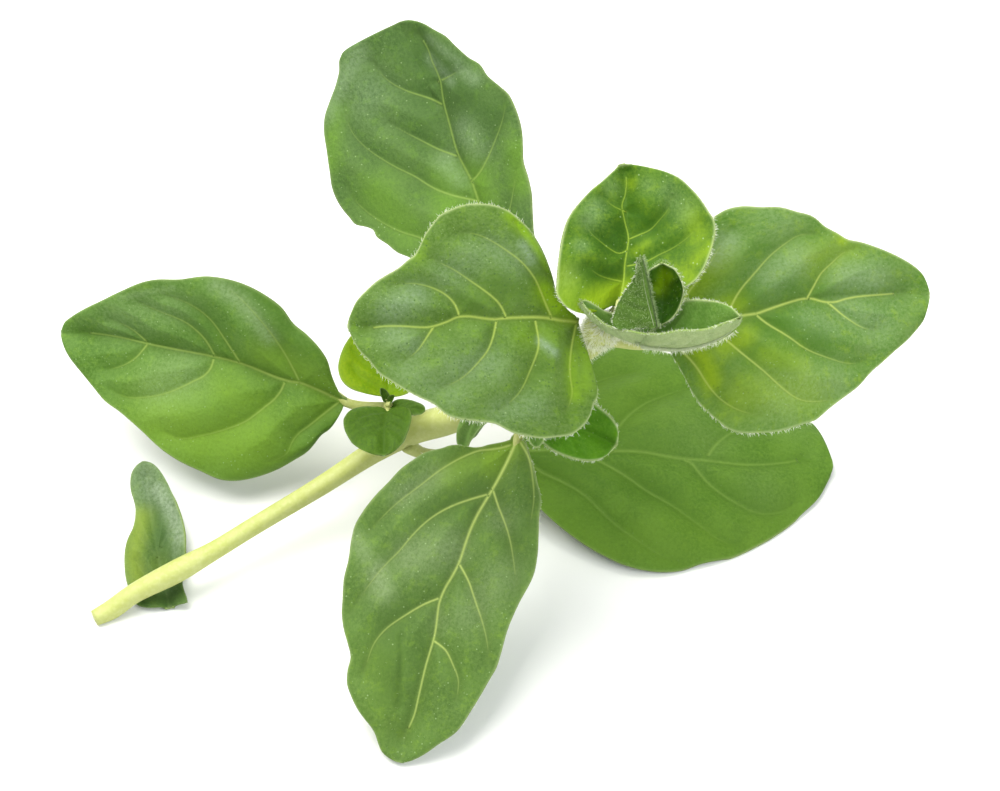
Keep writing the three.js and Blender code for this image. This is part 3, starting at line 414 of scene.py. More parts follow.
def distance_to(x, y, line):
    """How far each flat point lies from a line of points, and how far along the line it is, 0 to 1."""
    if len(line) == 1:
        line = [line[0], line[0]]
    best, where = np.full(x.shape, 1e9), np.zeros(x.shape)
    for i, ((ax, ay), (bx, by)) in enumerate(zip(line[:-1], line[1:])):
        dx, dy = bx - ax, by - ay
        f = np.clip(((x - ax) * dx + (y - ay) * dy) / (dx * dx + dy * dy + 1e-12), 0, 1)
        d = np.hypot(x - ax - f * dx, y - ay - f * dy)
        where = np.where(d < best, (i + f) / (len(line) - 1), where)
        best = np.minimum(best, d)
    return best, where


# ---- The blade ----
class Blade:
    """A leaf blade: its flat pattern in millimetres, and the bend that it takes in space.

    On the blade t runs from 0 at the base to 1 at the tip, and v from -1 at the left margin to 1 at
    the right. On the flat pattern x is millimetres along and y millimetres to the right.
    """

    def __init__(self, leaf):
        self.leaf = leaf
        self.base = np.array(leaf["base"], float)
        self.chord = np.array(leaf["tip"], float) - self.base
        self.length = float(np.linalg.norm(self.chord))
        self.along = self.chord / self.length
        face = np.array(leaf["face"], float)
        self.up = unit(face - face.dot(self.along) * self.along)
        self.right = np.cross(self.along, self.up)
        self.bend = leaf["arch"] * self.up + leaf.get("sway", 0) * self.right
        self.slim = leaf.get("stalk", STALK) * 0.8
        self.thick = BLADE * min(1, self.length / THICK)
        self.vein_size = min(self.length / VEINED, 1) * leaf.get("broad", 1)
        self.margins = []
        for side in ("left", "right"):
            share, half = np.array([(0, 0), *leaf[side], (100, 0)], float).T
            self.margins.append((np.arccos(1 - share / 50), half))
        midrib = np.array(leaf["midrib"], float) * (self.length / 100, 1)
        self.midrib = path_through(midrib, 60)[0]
        self.veins = [path_through(np.array(v, float) * (1, sign), 5 * len(v))[0]
                      for sign, side in ((-1, "veins_left"), (1, "veins_right")) for v in leaf[side]]
        self.waves = rng.uniform(0, 2 * math.pi, (4, 2)), rng.uniform(-1, 1, (4, 2))

    def half(self, t, across):
        """The half-width at t, on the side that the sign of across gives."""
        angle = np.arccos(1 - 2 * np.clip(t, 0, 1))
        left, right = (np.maximum(smooth(angle, *margin), 0) for margin in self.margins)
        return np.where(across > 0, right, left)

    def frame(self, t):
        t = np.asarray(t, float)[:, None]
        centre = self.base + self.chord * t + 4 * t * (1 - t) * self.bend
        ahead = unit(self.chord + 4 * (1 - 2 * t) * self.bend)
        side = unit(self.right - (ahead @ self.right)[:, None] * ahead)
        return centre, ahead, side, np.cross(side, ahead)

    def nearness(self, x, y):
        """How far a flat point is from a vein, and a soft pale band that follows each vein."""
        near, along = distance_to(x, y, self.midrib)
        band = (1 - 0.6 * along) * bell(near, MIDRIB_HALO * self.vein_size)
        for line in self.veins:
            d, along = distance_to(x, y, line)
            band = np.maximum(band, 0.7 * (1 - 0.7 * along) * bell(d, VEIN_HALO * self.vein_size))
            near = np.minimum(near, d + 0.5 * np.maximum(along - 0.6, 0))
        return near, band

    def relief(self, x, y, out):
        """How far the surface rises above the plain bend at a flat point."""
        size = min(self.length / GROWN, 1)
        near = self.nearness(x, y)[0]
        lift = size * (PUFF * (1 - bell(near, PUFF_REACH * size)) - GROOVE * bell(near, GROOVE_REACH))
        lift *= 1 - 0.7 * out ** 4  # flatter towards the margin
        for along, across, radius, height in self.leaf.get("swell", []):
            lift += height * np.exp(-((x - along) ** 2 + (y - across) ** 2) / radius ** 2)
        for (px, py), (kx, ky) in zip(*self.waves):
            lift += RIPPLE * size * np.sin(kx * x / size + px) * np.sin(ky * y / size + py)
        for line in self.leaf.get("crease", []):
            lift -= CREASE * bell(distance_to(x, y, line)[0], CREASE_REACH)
        for side, place, spread, share, drop in self.leaf.get("roll", []):
            turned = np.clip((out - 1 + share) / share, 0, 1.2) ** 2 * (np.sign(y) == (1 if side else -1))
            lift -= drop * turned * bell(x / self.length * 100 - place, spread)
        return lift

    def flat(self, t, v):
        return t * self.length, v * np.maximum(self.half(t, v), self.slim)

    def surface(self, t, v):
        """The upper face in space."""
        x, y = self.flat(t, v)
        centre, ahead, side, up = self.frame(t)
        k = (y > 0).astype(int)
        reach = np.abs(y) / np.array([m[1].max() for m in self.margins])[k]
        angle = np.radians(np.array(self.leaf["fold"])[k] + np.array(self.leaf["curl"])[k] / 2 * reach)
        # Beside the petiole the lobes reach back past the base, and a heel rounds them off.
        lobe = np.broadcast_to(self.leaf.get("lobe", 0), 2)[k]
        back = lobe * (1 - t) ** 4 * np.minimum(reach / 0.8, 1.2) ** 1.5
        back = back + self.leaf.get("heel", 0) * (1 - t) ** 14 * 4 * reach * np.maximum(1 - reach, 0)
        lift = np.abs(y) * np.sin(angle) + self.relief(x, y, np.abs(v))
        places = centre - back[:, None] * ahead + (y * np.cos(angle))[:, None] * side + lift[:, None] * up
        places[:, 2] = np.maximum(places[:, 2], BLADE)
        return places

    def normal(self, t, v):
        step = 0.01
        down = self.surface(np.minimum(t + step, 1), v) - self.surface(np.maximum(t - step, 0), v)
        over = self.surface(t, np.minimum(v + step, 1)) - self.surface(t, np.maximum(v - step, -1))
        return unit(np.cross(over, down))

    def locate(self, x, y):
        """The (t, v) of a flat point."""
        t = np.clip(x / self.length, 0, 1)
        return t, np.clip(y / np.maximum(self.half(t, y), self.slim), -1, 1)

    def along_midrib(self, t):
        """The (t, v) of the midrib at each t."""
        return self.locate(t * self.length, np.interp(t * self.length, *self.midrib.T))


# ---- Shapes ----
def bent_grid(bm, columns, rows, shape):
    """Adds a grid and bends it: shape(x, y) gives each place in millimetres, x and y from 0 to 1."""
    made = bmesh.ops.create_grid(bm, x_segments=columns, y_segments=rows, size=0.5)["verts"]
    x, y = (np.array([v.co[:2] for v in made]) + 0.5).T
    for vert, place in zip(made, shape(x, y) * MM):
        vert.co = place
    return made, x, y


def close_tube(bm, made, sides):
    """Joins the long seam of a rolled-up grid, closes both ends and turns its faces outwards."""
    bmesh.ops.remove_doubles(bm, verts=made, dist=1e-8)
    left = {vert for vert in made if vert.is_valid}
    rim = [e for e in bm.edges if e.is_boundary and (e.verts[0] in left or e.verts[1] in left)]
    bmesh.ops.holes_fill(bm, edges=rim, sides=sides + 2)
    bmesh.ops.recalc_face_normals(bm, faces=list({face for vert in left for face in vert.link_faces}))


def tube(bm, path, radii, sides, up=(0, 0, 1.0), corners=0.0):
    """A tapering tube along a path, with its ends closed. corners makes its section squarish."""
    ahead = unit(np.gradient(path, axis=0))
    side = unit(np.cross(ahead, np.broadcast_to(up, path.shape)))
    over = np.cross(side, ahead)

    def shape(x, y):
        i = np.rint(y * (len(path) - 1)).astype(int)
        turn = 2 * math.pi * x
        r = radii[i] * (1 - corners * np.cos(4 * turn))
        return path[i] + (r * np.cos(turn))[:, None] * side[i] + (r * np.sin(turn))[:, None] * over[i]

    close_tube(bm, bent_grid(bm, sides, len(path) - 1, shape)[0], sides)


def finish_piece(bm, name, node, materials, smooth_faces=True):
    mesh = bpy.data.meshes.new(name)
    bm.to_mesh(mesh)
    bm.free()
    for face in mesh.polygons:
        face.use_smooth = smooth_faces
    for material in materials:
        mesh.materials.append(material)
    piece = bpy.data.objects.new(name, mesh)
    bpy.context.scene.collection.objects.link(piece)
    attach(piece, "root")
    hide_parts(node)
    return piece


def patches(x, y, spots):
    total = np.zeros(x.shape)
    for radius, strength, *line in spots:
        total = np.maximum(total, strength * bell(distance_to(x, y, line)[0], radius))
    return total


MARKS = ("vein", "valley_shade", "rim", "glow", "bloom", "dark")


def surface_marks(blade, x, y, v, vein=None):
    """What the skin needs to know at each flat point: veins, painted shade beside them, the rim and its
    patches.
    """
    near, band = blade.nearness(x, y)
    leaf = blade.leaf
    edge = np.minimum((1 - np.abs(v)) * np.maximum(blade.half(x / blade.length, v), 0.05), blade.length - x)
    # Patches of painted light shining through, of pale down with a painted sheen, and of deep green that is
    # partly painted shade.
    marks = {key: patches(x, y, leaf.get(key, [])) for key in ("glow", "bloom", "dark")}
    marks["vein"] = HALO * band * leaf.get("faint", 1) if vein is None else vein
    # Painted shade in the dip beside each vein.
    marks["valley_shade"] = bell(near, VALLEY)
    # The margin's own pale line, with a painted highlight along it.
    marks["rim"] = bell(edge, RIM)
    return marks


def mark_skin(bm, layers, flat_map, made, x, y, marks):
    """Writes the marks on the vertices, and a flat map in which 1 is 100 mm."""
    for key, layer in layers.items():
        for vert, value in zip(made, marks[key]):
            vert[layer] = value
    flat = {vert: (a / 100 + 0.1, b / 100 + 0.5) for vert, a, b in zip(made, x, y)}
    for face in {face for vert in made for face in vert.link_faces}:
        for loop in face.loops:
            loop[flat_map].uv = flat[loop.vert]


def skin_layers(bm):
    return {key: bm.verts.layers.float.new(key) for key in MARKS}, bm.loops.layers.uv.new("flat")


def make_blade(name, node, blade, grid, materials):
    bm = bmesh.new()
    layers, flat_map = skin_layers(bm)

    def stations(x, y):
        """Rows and columns lie closer together at the margins."""
        v = (2 * x - 1) * (1.2 - 0.2 * (2 * x - 1) ** 2)
        return 0.001 + 0.998 * (1 - np.cos(math.pi * y)) / 2, v

    made, x, y = bent_grid(bm, *grid, lambda x, y: blade.surface(*stations(x, y)))
    t, v = stations(x, y)
    along, across = blade.flat(t, v)
    mark_skin(bm, layers, flat_map, made, along, across, surface_marks(blade, along, across, v))
    bm.normal_update()
    if sum(face.normal.dot(Vector(blade.up)) for face in bm.faces) < 0:
        bmesh.ops.reverse_faces(bm, faces=bm.faces)
    piece = finish_piece(bm, name, node, materials)
    wall = piece.modifiers.new("thickness", "SOLIDIFY")
    wall.thickness = blade.thick * MM
    wall.offset = -1
    wall.material_offset = 1
    wall.material_offset_rim = 2


def make_veins(bm, blade, layers, flat_map):
    """The veins of the upper face: slim lens-shaped cords that lie in the grooves and fade outwards."""
    size, faint = blade.vein_size, blade.leaf.get("faint", 1)
    sides, spread = 16, 2.2  # a cord is wider than its colour, which fades out across it
    lines = [(blade.midrib, MIDRIB, MIDRIB_TONE)] + [(line, VEIN, VEIN_TONE) for line in blade.veins]
    for line, wide, (strong, loss) in lines:
        run = np.linalg.norm(np.diff(line, axis=0), axis=1).sum()
        path, share = path_through(line[::3], max(8, int(run / VEIN_STEP)))
        share = share if wide < MIDRIB else np.clip(path[:, 0] / blade.length, 0, 1)
        ahead = unit(np.gradient(path, axis=0))
        half = size * (wide * (1 - VEIN_TAPER * share) + VEIN_END)
        fade = faint * strong * (1 - loss * share) * np.minimum((1 - share) / 0.12, 1) ** 0.7

        def flat_place(x, y):
            i = np.rint(y * (len(path) - 1)).astype(int)
            turn = 2 * math.pi * x
            off = spread * half[i] * np.cos(turn)
            return i, turn, path[i, 0] - ahead[i, 1] * off, path[i, 1] + ahead[i, 0] * off

        def shape(x, y):
            i, turn, px, py = flat_place(x, y)
            t, v = blade.locate(px, py)
            top = PROUD * size * np.sin(turn) ** 2
            rise = CLEAR + np.where(np.sin(turn) > -1e-6, top, 0.25 * blade.thick * np.sin(turn))
            rise -= 0.2 * blade.thick * np.clip((share[i] - 0.9) / 0.1, 0, 1)
            return blade.surface(t, v) + blade.normal(t, v) * rise[:, None]

        made, x, y = bent_grid(bm, sides, len(path) - 1, shape)
        i, turn, px, py = flat_place(x, y)
        profile = fade[i] * np.exp(-(spread * np.cos(turn)) ** 2)
        band = HALO * blade.nearness(px, py)[1] * faint
        marks = surface_marks(blade, px, py, blade.locate(px, py)[1], np.maximum(profile, band))
        mark_skin(bm, layers, flat_map, made, px, py, marks)
        rails = {vert for vert, place in zip(made, x) if abs(2 * place - round(2 * place)) < 1e-6}
        close_tube(bm, made, sides)
        rails = {vert for vert in rails if vert.is_valid}
        for edge in {edge for vert in rails for edge in vert.link_edges}:
            edge.smooth = not (edge.verts[0] in rails and edge.verts[1] in rails)


def make_ribs(bm, blade):
    """The side veins where they stand out from the underside."""
    for vein in blade.veins:
        path, share = path_through(vein[::3], max(8, len(vein)))
        t, v = blade.locate(*path.T)
        normal, face = blade.normal(t, v), blade.surface(t, v)
        radii = np.minimum(RIB + (RIB_END - RIB) * share ** 0.8, 0.4 * face[:, 2])
        places = face - normal * (blade.thick + 0.2 * radii)[:, None]
        places[:, 2] = np.maximum(places[:, 2], radii)
        tube(bm, places, radii, 6, up=-normal)


def make_keel(bm, blade, root, outward):
    """The petiole from the stem to the blade, running on as a tapering rib under the midrib."""
    join = blade.leaf.get("join", 0.0)
    slim = blade.leaf.get("stalk", STALK)
    t, v = blade.along_midrib(np.linspace(join + 0.03, RIB_REACH, 30))
    face, normal = blade.surface(t, v), blade.normal(t, v)
    rib = np.minimum(slim * (1 - t) ** 0.8 * 0.8, 0.4 * face[:, 2])
    under = face - normal * (blade.thick + rib * 0.5)[:, None]
    centre, ahead, _, up = blade.frame([join])
    start = centre[0] - up[0] * (blade.thick + slim * 0.6 if join else slim * 0.5)
    reach = np.linalg.norm(root - start) * 0.4
    f = np.linspace(0, 1, 14)[:, None]
    bridge = ((1 - f) ** 3 * root + 3 * (1 - f) ** 2 * f * (root + outward * reach)
              + 3 * (1 - f) * f * f * (start - ahead[0] * reach) + f ** 3 * start)
    flare = slim * (0.85 + 0.45 * bell(f[:, 0], 0.12))
    path = np.vstack([bridge, under])
    radii = np.concatenate([flare, rib])
    path[:, 2] = np.maximum(path[:, 2], radii)
    tube(bm, path, radii, 12, up=np.vstack([np.tile(blade.up, (len(bridge), 1)), normal]))


def hair(bm, root, way, length, radius=HAIR):
    """One hair: a slim three-sided spike in millimetres."""
    way = Vector(way).normalized()
    place = Matrix.Translation((Vector(root) + way * (length * 0.45)) * MM)
    bmesh.ops.create_cone(bm, cap_ends=False, segments=3, radius1=radius * MM, radius2=0.3 * radius * MM,
                          depth=length * MM, matrix=place @ way.to_track_quat("Z", "Y").to_matrix().to_4x4())


def fringe(bm, blade, per_mm, length):
    """Hairs along both margins, pointing out and a little towards the tip."""
    for side in (-1.0, 1.0):
        t = np.linspace(0.001, 0.999, 400)
        edge = blade.surface(t, np.full(t.shape, side))
        run = np.concatenate([[0], np.cumsum(np.linalg.norm(np.diff(edge, axis=0), axis=1))])
        count = int(run[-1] * per_mm)
        t = np.interp(rng.uniform(0, run[-1], count), run, t)
        v = np.full(count, side)
        edge, inner = blade.surface(t, v), blade.surface(t, v * 0.96)
        out, up = unit(edge - inner), blade.normal(t, v)
        ahead = unit(blade.surface(np.minimum(t + 0.01, 1), v) - blade.surface(np.maximum(t - 0.01, 0), v))
        ways = out + up * rng.normal(0, 0.5, (count, 1)) + ahead * rng.normal(0.15, 0.5, (count, 1))
        for p, u, w, l in zip(edge, up, ways, rng.uniform(0.35, 1.0, count) ** 1.5 * length):
            hair(bm, p - u * rng.uniform(0, 0.25), w, l)


def down(bm, blade, count, length, side=1):
    """Short hairs scattered over one face of a blade, side 1 for the upper face and -1 for the under."""
    t = (1 - np.cos(math.pi * rng.uniform(0.02, 0.98, count))) / 2
    v = rng.uniform(-0.97, 0.97, count)
    up = blade.normal(t, v) * side
    places = blade.surface(t, v) - up * (0 if side > 0 else -BLADE)
    for p, u, l in zip(places, up, rng.uniform(0.5, 1.0, count) * length):
        hair(bm, p, u + rng.normal(0, 0.6, 3), l, HAIR * 0.75)


def fuzz(bm, path, radii, count, station, lean, lengths, radius=HAIR):
    """Hairs all round a path. station draws a place on it, and lean how far a hair tips over."""
    ahead = unit(np.gradient(path, axis=0))
    for _ in range(count):
        i = station()
        out = unit(np.cross(ahead[i], rng.normal(0, 1, 3)))
        hair(bm, path[i] + out * radii[i], out + lean(ahead[i]), rng.uniform(*lengths), radius)


# ---- Materials ----
def colour(code):
    """An sRGB hex colour as linear RGBA."""
    parts = [int(code[i:i + 2], 16) / 255 for i in (1, 3, 5)]
    return (*[c / 12.92 if c <= 0.04045 else ((c + 0.055) / 1.055) ** 2.4 for c in parts], 1.0)


def add(tree, kind, inputs, output=0, **settings):
    """Adds a node with its settings, links or sets its inputs, and gives back one of its outputs."""
    node = tree.nodes.new("ShaderNode" + kind)
    for key, value in settings.items():
        setattr(node, key, value)
    for key, value in inputs.items():
        if isinstance(value, bpy.types.NodeSocket):
            tree.links.new(value, node.inputs[key])
        else:
            node.inputs[key].default_value = value
    return node.outputs[output] if node.outputs else None


def new_material(name):
    material = bpy.data.materials.new(name)
    material.use_nodes = True
    material.node_tree.nodes.clear()
    return material, material.node_tree


def layered(tree, skin, layers):
    """Lays colours over a first one, each by its own amount."""
    for amount, over in layers:
        skin = add(tree, "Mix", {0: amount, 6: skin, 7: colour(over)}, 2, data_type="RGBA")
    return skin


def scaled(tree, value, low, high, to_low=0.0, to_high=1.0):
    return add(tree, "MapRange", {"Value": value, "From Min": low, "From Max": high,
                                  "To Min": to_low, "To Max": to_high})


def finish_tissue(tree, skin, lit, bump, thin, coat):
    """Living tissue: its coat, with some of the light coming through where it is thin."""
    coat = add(tree, "BsdfPrincipled", {"Base Color": skin, "Normal": bump, **coat})
    through = add(tree, "BsdfTranslucent", {"Color": lit, "Normal": bump})
    add(tree, "OutputMaterial", {"Surface": add(tree, "MixShader", {0: thin, 1: coat, 2: through})})


def leaf_skin(name, greens, net=0.12, specks=0.6, thin=0.28, down=0.05, rim=0.4, pits=0.25):
    """Living leaf skin: a soft waxy sheen over green tissue, lit through where it is thin.

    greens are its deep, middle and pale green, its fresh green, its down and its veins. The deep green also
    paints shade, the fresh green light shining through, and the down a sheen.
    """
    deep, middle, pale, fresh_and_glow, downy, vein = greens.split()
    material, tree = new_material(name)
    flat = add(tree, "UVMap", {}, uv_map="flat")
    mm = add(tree, "VectorMath", {0: flat, 1: (100, 100, 100)}, operation="MULTIPLY")
    mark = {key: add(tree, "Attribute", {}, "Fac", attribute_name=key) for key in MARKS}
    # Tissue varies over about 4 mm, its fresh patches over about 1 mm and its cells over about 0.3 mm.
    broad = add(tree, "TexNoise", {"Vector": mm, "Scale": 0.28, "Detail": 3.0})
    patchy = add(tree, "TexNoise", {"Vector": mm, "Scale": 0.9, "Detail": 4.0, "Roughness": 0.7},
                 noise_dimensions="2D")
    cells = add(tree, "TexNoise", {"Vector": mm, "Scale": 3.0, "Detail": 4.0, "Roughness": 0.75})
    # The finest veins close a net with meshes of about 0.9 mm.
    warp = add(tree, "TexNoise", {"Vector": mm, "Scale": 0.9}, "Color")
    bent = add(tree, "VectorMath", {0: mm, 1: warp}, operation="ADD")
    mesh = add(tree, "TexVoronoi", {"Vector": bent, "Scale": 1.1}, feature="DISTANCE_TO_EDGE")
    # Oil glands: pale dots about 0.15 mm wide, and sunken dark ones, each about 0.8 mm from the next.
    gland = add(tree, "TexVoronoi", {"Vector": mm, "Scale": 1.3}, feature="F1")
    moved = add(tree, "VectorMath", {0: mm, 1: (3.7, 8.1, 0)}, operation="ADD")
    pit = add(tree, "TexVoronoi", {"Vector": moved, "Scale": 1.15}, feature="F1", voronoi_dimensions="2D")

    def uneven(value, over, low, high, least, most):
        share = scaled(tree, over, low, high, least, most)
        return add(tree, "Math", {0: value, 1: share}, operation="MULTIPLY")

    skin = layered(tree, colour(deep), [
        (scaled(tree, broad, 0.35, 0.65), middle),
        (scaled(tree, cells, 0.42, 0.68, 0.0, 0.75), pale),
        (scaled(tree, cells, 0.34, 0.46, 0.4, 0.0), deep),
        (scaled(tree, patchy, 0.52, 0.72, 0.0, 0.3), fresh_and_glow),
        (scaled(tree, mesh, 0.0, 0.16, net, 0.0), pale),
        # Painted shade in the dip beside each vein.
        (scaled(tree, mark["valley_shade"], 0.0, 1.0, 0.0, 0.5), deep),
        # Deep green patches, partly the tissue's own colour and partly painted shade.
        (scaled(tree, mark["dark"], 0.0, 1.0, 0.0, 0.75), deep),
        # Painted light shining through the thin tissue.
        (uneven(mark["glow"], cells, 0.3, 0.7, 0.8, 1.1), fresh_and_glow),
        # Pale down, with a painted sheen and highlights.
        (uneven(mark["bloom"], cells, 0.35, 0.65, 0.3, 0.8), downy),
        # A pale rim: the margin's own pale line with a painted highlight along it.
        (scaled(tree, mark["rim"], 0.0, 1.0, 0.0, rim), "#c2d096"),
        (scaled(tree, gland, 0.04, 0.12, specks, 0.0), "#a9c486"),
        (uneven(scaled(tree, pit, 0.05, 0.13, 1.0, 0.0), patchy, 0.42, 0.6, 0.15 * pits, pits), "#38562c"),
        (mark["vein"], vein),
    ])
    height = add(tree, "Math", {0: scaled(tree, mesh, 0.0, 0.35, 0.0, 0.25), 1: cells}, operation="ADD")
    bump = add(tree, "Bump", {"Strength": 0.5, "Distance": 0.0001, "Height": height})
    lit = layered(tree, skin, [(0.35, fresh_and_glow)])
    finish_tissue(tree, skin, lit, bump, thin, {
        "Roughness": scaled(tree, cells, 0.3, 0.7, 0.55, 0.68), "IOR": 1.42, "Specular IOR Level": 0.28,
        "Sheen Weight": down, "Sheen Roughness": 0.5, "Sheen Tint": colour("#e9f0dc")})
    return material


def soft_tissue(name, greens, grain_per_mm, thin, down, rough=0.5):
    """Pale juicy tissue of stems, petioles, veins, rims and undersides, in soft patches."""
    base, streak, pale = greens.split()
    material, tree = new_material(name)
    place = add(tree, "TexCoord", {}, "Object")
    mm = add(tree, "VectorMath", {0: place, 1: (grain_per_mm * 1000,) * 3}, operation="MULTIPLY")
    patchy = add(tree, "TexNoise", {"Vector": mm, "Scale": 1.0, "Detail": 4.0, "Roughness": 0.6})
    grain = add(tree, "TexNoise", {"Vector": mm, "Scale": 5.0, "Detail": 2.0})
    skin = layered(tree, colour(base), [
        (scaled(tree, patchy, 0.38, 0.62), streak), (scaled(tree, grain, 0.45, 0.75, 0.0, 0.5), pale)])
    bump = add(tree, "Bump", {"Strength": 0.4, "Distance": 0.00008, "Height": grain})
    finish_tissue(tree, skin, skin, bump, thin, {
        "Roughness": rough, "IOR": 1.4, "Sheen Weight": down, "Sheen Roughness": 0.45,
        "Sheen Tint": colour("#f4f6e6")})
    return material


# Juicy and yellow-green, softly mottled, with a faint glow at its edges.
stem_skin = soft_tissue("young oregano stem", "#b4bb70 #adb562 #c1c688", 0.5, 0.12, 0.1)
# Pale lines that catch more light than the tissue between them.
rib_skin = soft_tissue("leaf vein", "#a9bd62 #9bb258 #c3cd8a", 2, 0.2, 0.1)
# A thin light line round each blade, half lit through.
rim_skin = soft_tissue("leaf rim", "#93ad5c #86a252 #b4c684", 2, 0.35, 0.1)
# Matt undersides: grey-green on the large leaves, paler or greener on the young ones.
under_skin = soft_tissue("leaf underside", "#86a062 #789556 #9cb27c", 0.8, 0.3, 0.3, 0.7)
under_pale = soft_tissue("downy leaf underside", "#9eb073 #8ea366 #bac79a", 1.5, 0.2, 0.25, 0.8)
under_deep = soft_tissue("green downy underside", "#527424 #44661a #6f8c42", 1.5, 0.2, 0.15, 0.8)
# Grey-green under a felt of down.
tip_stalk_skin = soft_tissue("downy shoot stalk", "#acb792 #9caa80 #c6ceb2", 1.2, 0.15, 0.3, 0.7)
# Hairs that stand out almost white at the edges, and shorter ones that only soften the green.
hair_skin = soft_tissue("plant hair", "#eef1e0 #e6ebd2 #f8faf2", 1, 0.2, 0.0)
down_skin = soft_tissue("short plant hair", "#a9bf86 #98b272 #c2d2a4", 1, 0.3, 0.0)

SKINS = {
    "leaf_0": leaf_skin(  # dull and grey, its veins hardly showing
        "old leaf skin", "#41602a #567633 #6b8a48 #7f9636 #9fb096 #7a9450",
        net=0.04, specks=0.1, down=0.1, rim=0.15),
    "leaf_1_left": leaf_skin(  # even green with soft pale veins
        "lower leaf skin", "#466c1d #587d32 #6c9042 #7ca22a #8fa878 #97b052", specks=0.5, rim=0.25),
    "leaf_1_right": leaf_skin(  # smooth deep green with few specks
        "large lower leaf skin", "#4a7118 #5b8124 #688f31 #6c9228 #7c985c #8fae50",
        net=0.08, specks=0.1, rim=0.15),
    "leaf_2_back": leaf_skin(  # cool dark green
        "back leaf skin", "#416029 #547236 #628143 #6f9a2a #94a98a #93b052", specks=0.5, rim=0.2),
    "leaf_2_front": leaf_skin(  # mid green under clear yellow-green veins
        "front leaf skin", "#496827 #5a7b34 #688640 #84a830 #94a67c #bdd070", rim=0.25),
    "leaf_3_left": leaf_skin(  # deep green with patches of painted glow and many sunken glands
        "upper leaf skin", "#476918 #5b7c2f #6c8943 #7ba300 #8ba088 #b4c95c",
        specks=0.45, down=0.12, rim=0.6, pits=0.7),
    "leaf_3_right": leaf_skin(  # lighter green, lit through in yellow patches
        "upper right leaf skin", "#49741c #61833a #729149 #95b30c #8fa680 #c3d46a",
        specks=0.45, down=0.08, rim=0.5, pits=0.35),
    "leaf_4_back": leaf_skin(  # saturated green with pale gland dots
        "youngest leaf skin", "#305b02 #4f7712 #638620 #8eae04 #84a070 #a3c03a",
        specks=0.8, down=0.08, rim=0.6, pits=0.1),
    "shaded": leaf_skin(  # plain dark green
        "shaded young leaf skin", "#3a5b08 #486c0f #5a7c19 #5c861c #67864c #7a9a3c",
        net=0.05, specks=0.05, rim=0.1, pits=0.1),
    "sunlit": leaf_skin(  # glowing yellow-green, lit through from behind
        "sunlit young leaf skin", "#6c9400 #82a400 #9ab410 #98b000 #8cac00 #a6c038",
        net=0.06, specks=0.1, thin=0.45, rim=0.2, pits=0.0),
    "tender": leaf_skin(  # clear fresh green with a light rim
        "tender young leaf skin", "#477c0c #578d12 #6c9e2c #76ac00 #8ca868 #8cb24a",
        specks=0.4, rim=0.7, pits=0.1),
    "dusky": leaf_skin(  # soft grey-green
        "young leaf skin in the shade", "#537b30 #688a3d #84a056 #7f9c50 #8aa474 #7f9c58",
        net=0.06, specks=0.1, rim=0.3, pits=0.1),
    "downy": leaf_skin(  # pale green, matt with down
        "downy tip leaf skin", "#57832c #6c963c #84a754 #86a644 #9cb284 #7f9f54",
        net=0.06, specks=0.2, down=0.15, rim=0.7),
    "backed": leaf_skin(  # dull mid green
        "tip leaf skin seen from behind", "#466c1c #587e26 #6c8e3a #76943a #8aa26c #6f9448",
        specks=0.2, down=0.15, rim=0.3, pits=0.1),
    "hooded": leaf_skin(  # darkest green inside a light rim
        "hooded bud leaf skin", "#244a02 #315e06 #457212 #759a00 #4c6a34 #457014",
        net=0.05, specks=0.1, down=0.0, rim=0.9, pits=0.2),
}
BARE_RIMS = ("shaded", "sunlit", "dusky", "backed")  # young leaves without a pale rim
UNDERSIDES = {"downy": under_pale, "hooded": under_pale, "tender": under_pale, "backed": under_deep}


# ---- The stem ----
def stem_path(count):
    points = np.array([place for place, _ in STEM])
    path, share = path_through(points, count)
    knots = knots_of(points)
    return path, smooth(share * knots[-1], knots, [radius for _, radius in STEM])


def make_stem():
    bm = bmesh.new()
    tube(bm, *stem_path(160), 24, corners=0.03)
    for vert in bm.verts:
        vert.co.z = max(vert.co.z, 0)
    finish_piece(bm, "stem_body", "stem", [stem_skin])

    # Hairs cover the upper quarter, closer together towards the tip, and are longest at its very end.
    bm = bmesh.new()
    path, radii = stem_path(400)
    roots, count = radii * 0.95, len(path)
    fuzz(bm, path, roots, STEM_HAIRS, lambda: int(count * (0.995 - 0.27 * rng.uniform(0, 1) ** 1.8)),
         lambda ahead: ahead * rng.normal(0.1, 0.4), (0.2, 0.6))
    fuzz(bm, path, roots, TIP_HAIRS, lambda: int(count * rng.uniform(0.93, 0.995)),
         lambda ahead: rng.normal(0, 0.5, 3), (0.3, 0.75), HAIR * 1.3)
    finish_piece(bm, "stem_hairs", "stem", [hair_skin], False)


# ---- Grown leaves ----
FRINGES = {  # hairs per mm of margin and their length, and how many hairs the face carries
    "leaf_1_left": (1.0, 0.15, 60), "leaf_2_back": (2, 0.18, 80), "leaf_2_front": (4, 0.3, 120),
    "leaf_3_left": (9, 0.55, 260), "leaf_3_right": (10, 0.46, 140), "leaf_4_back": (11, 0.46, 90),
}


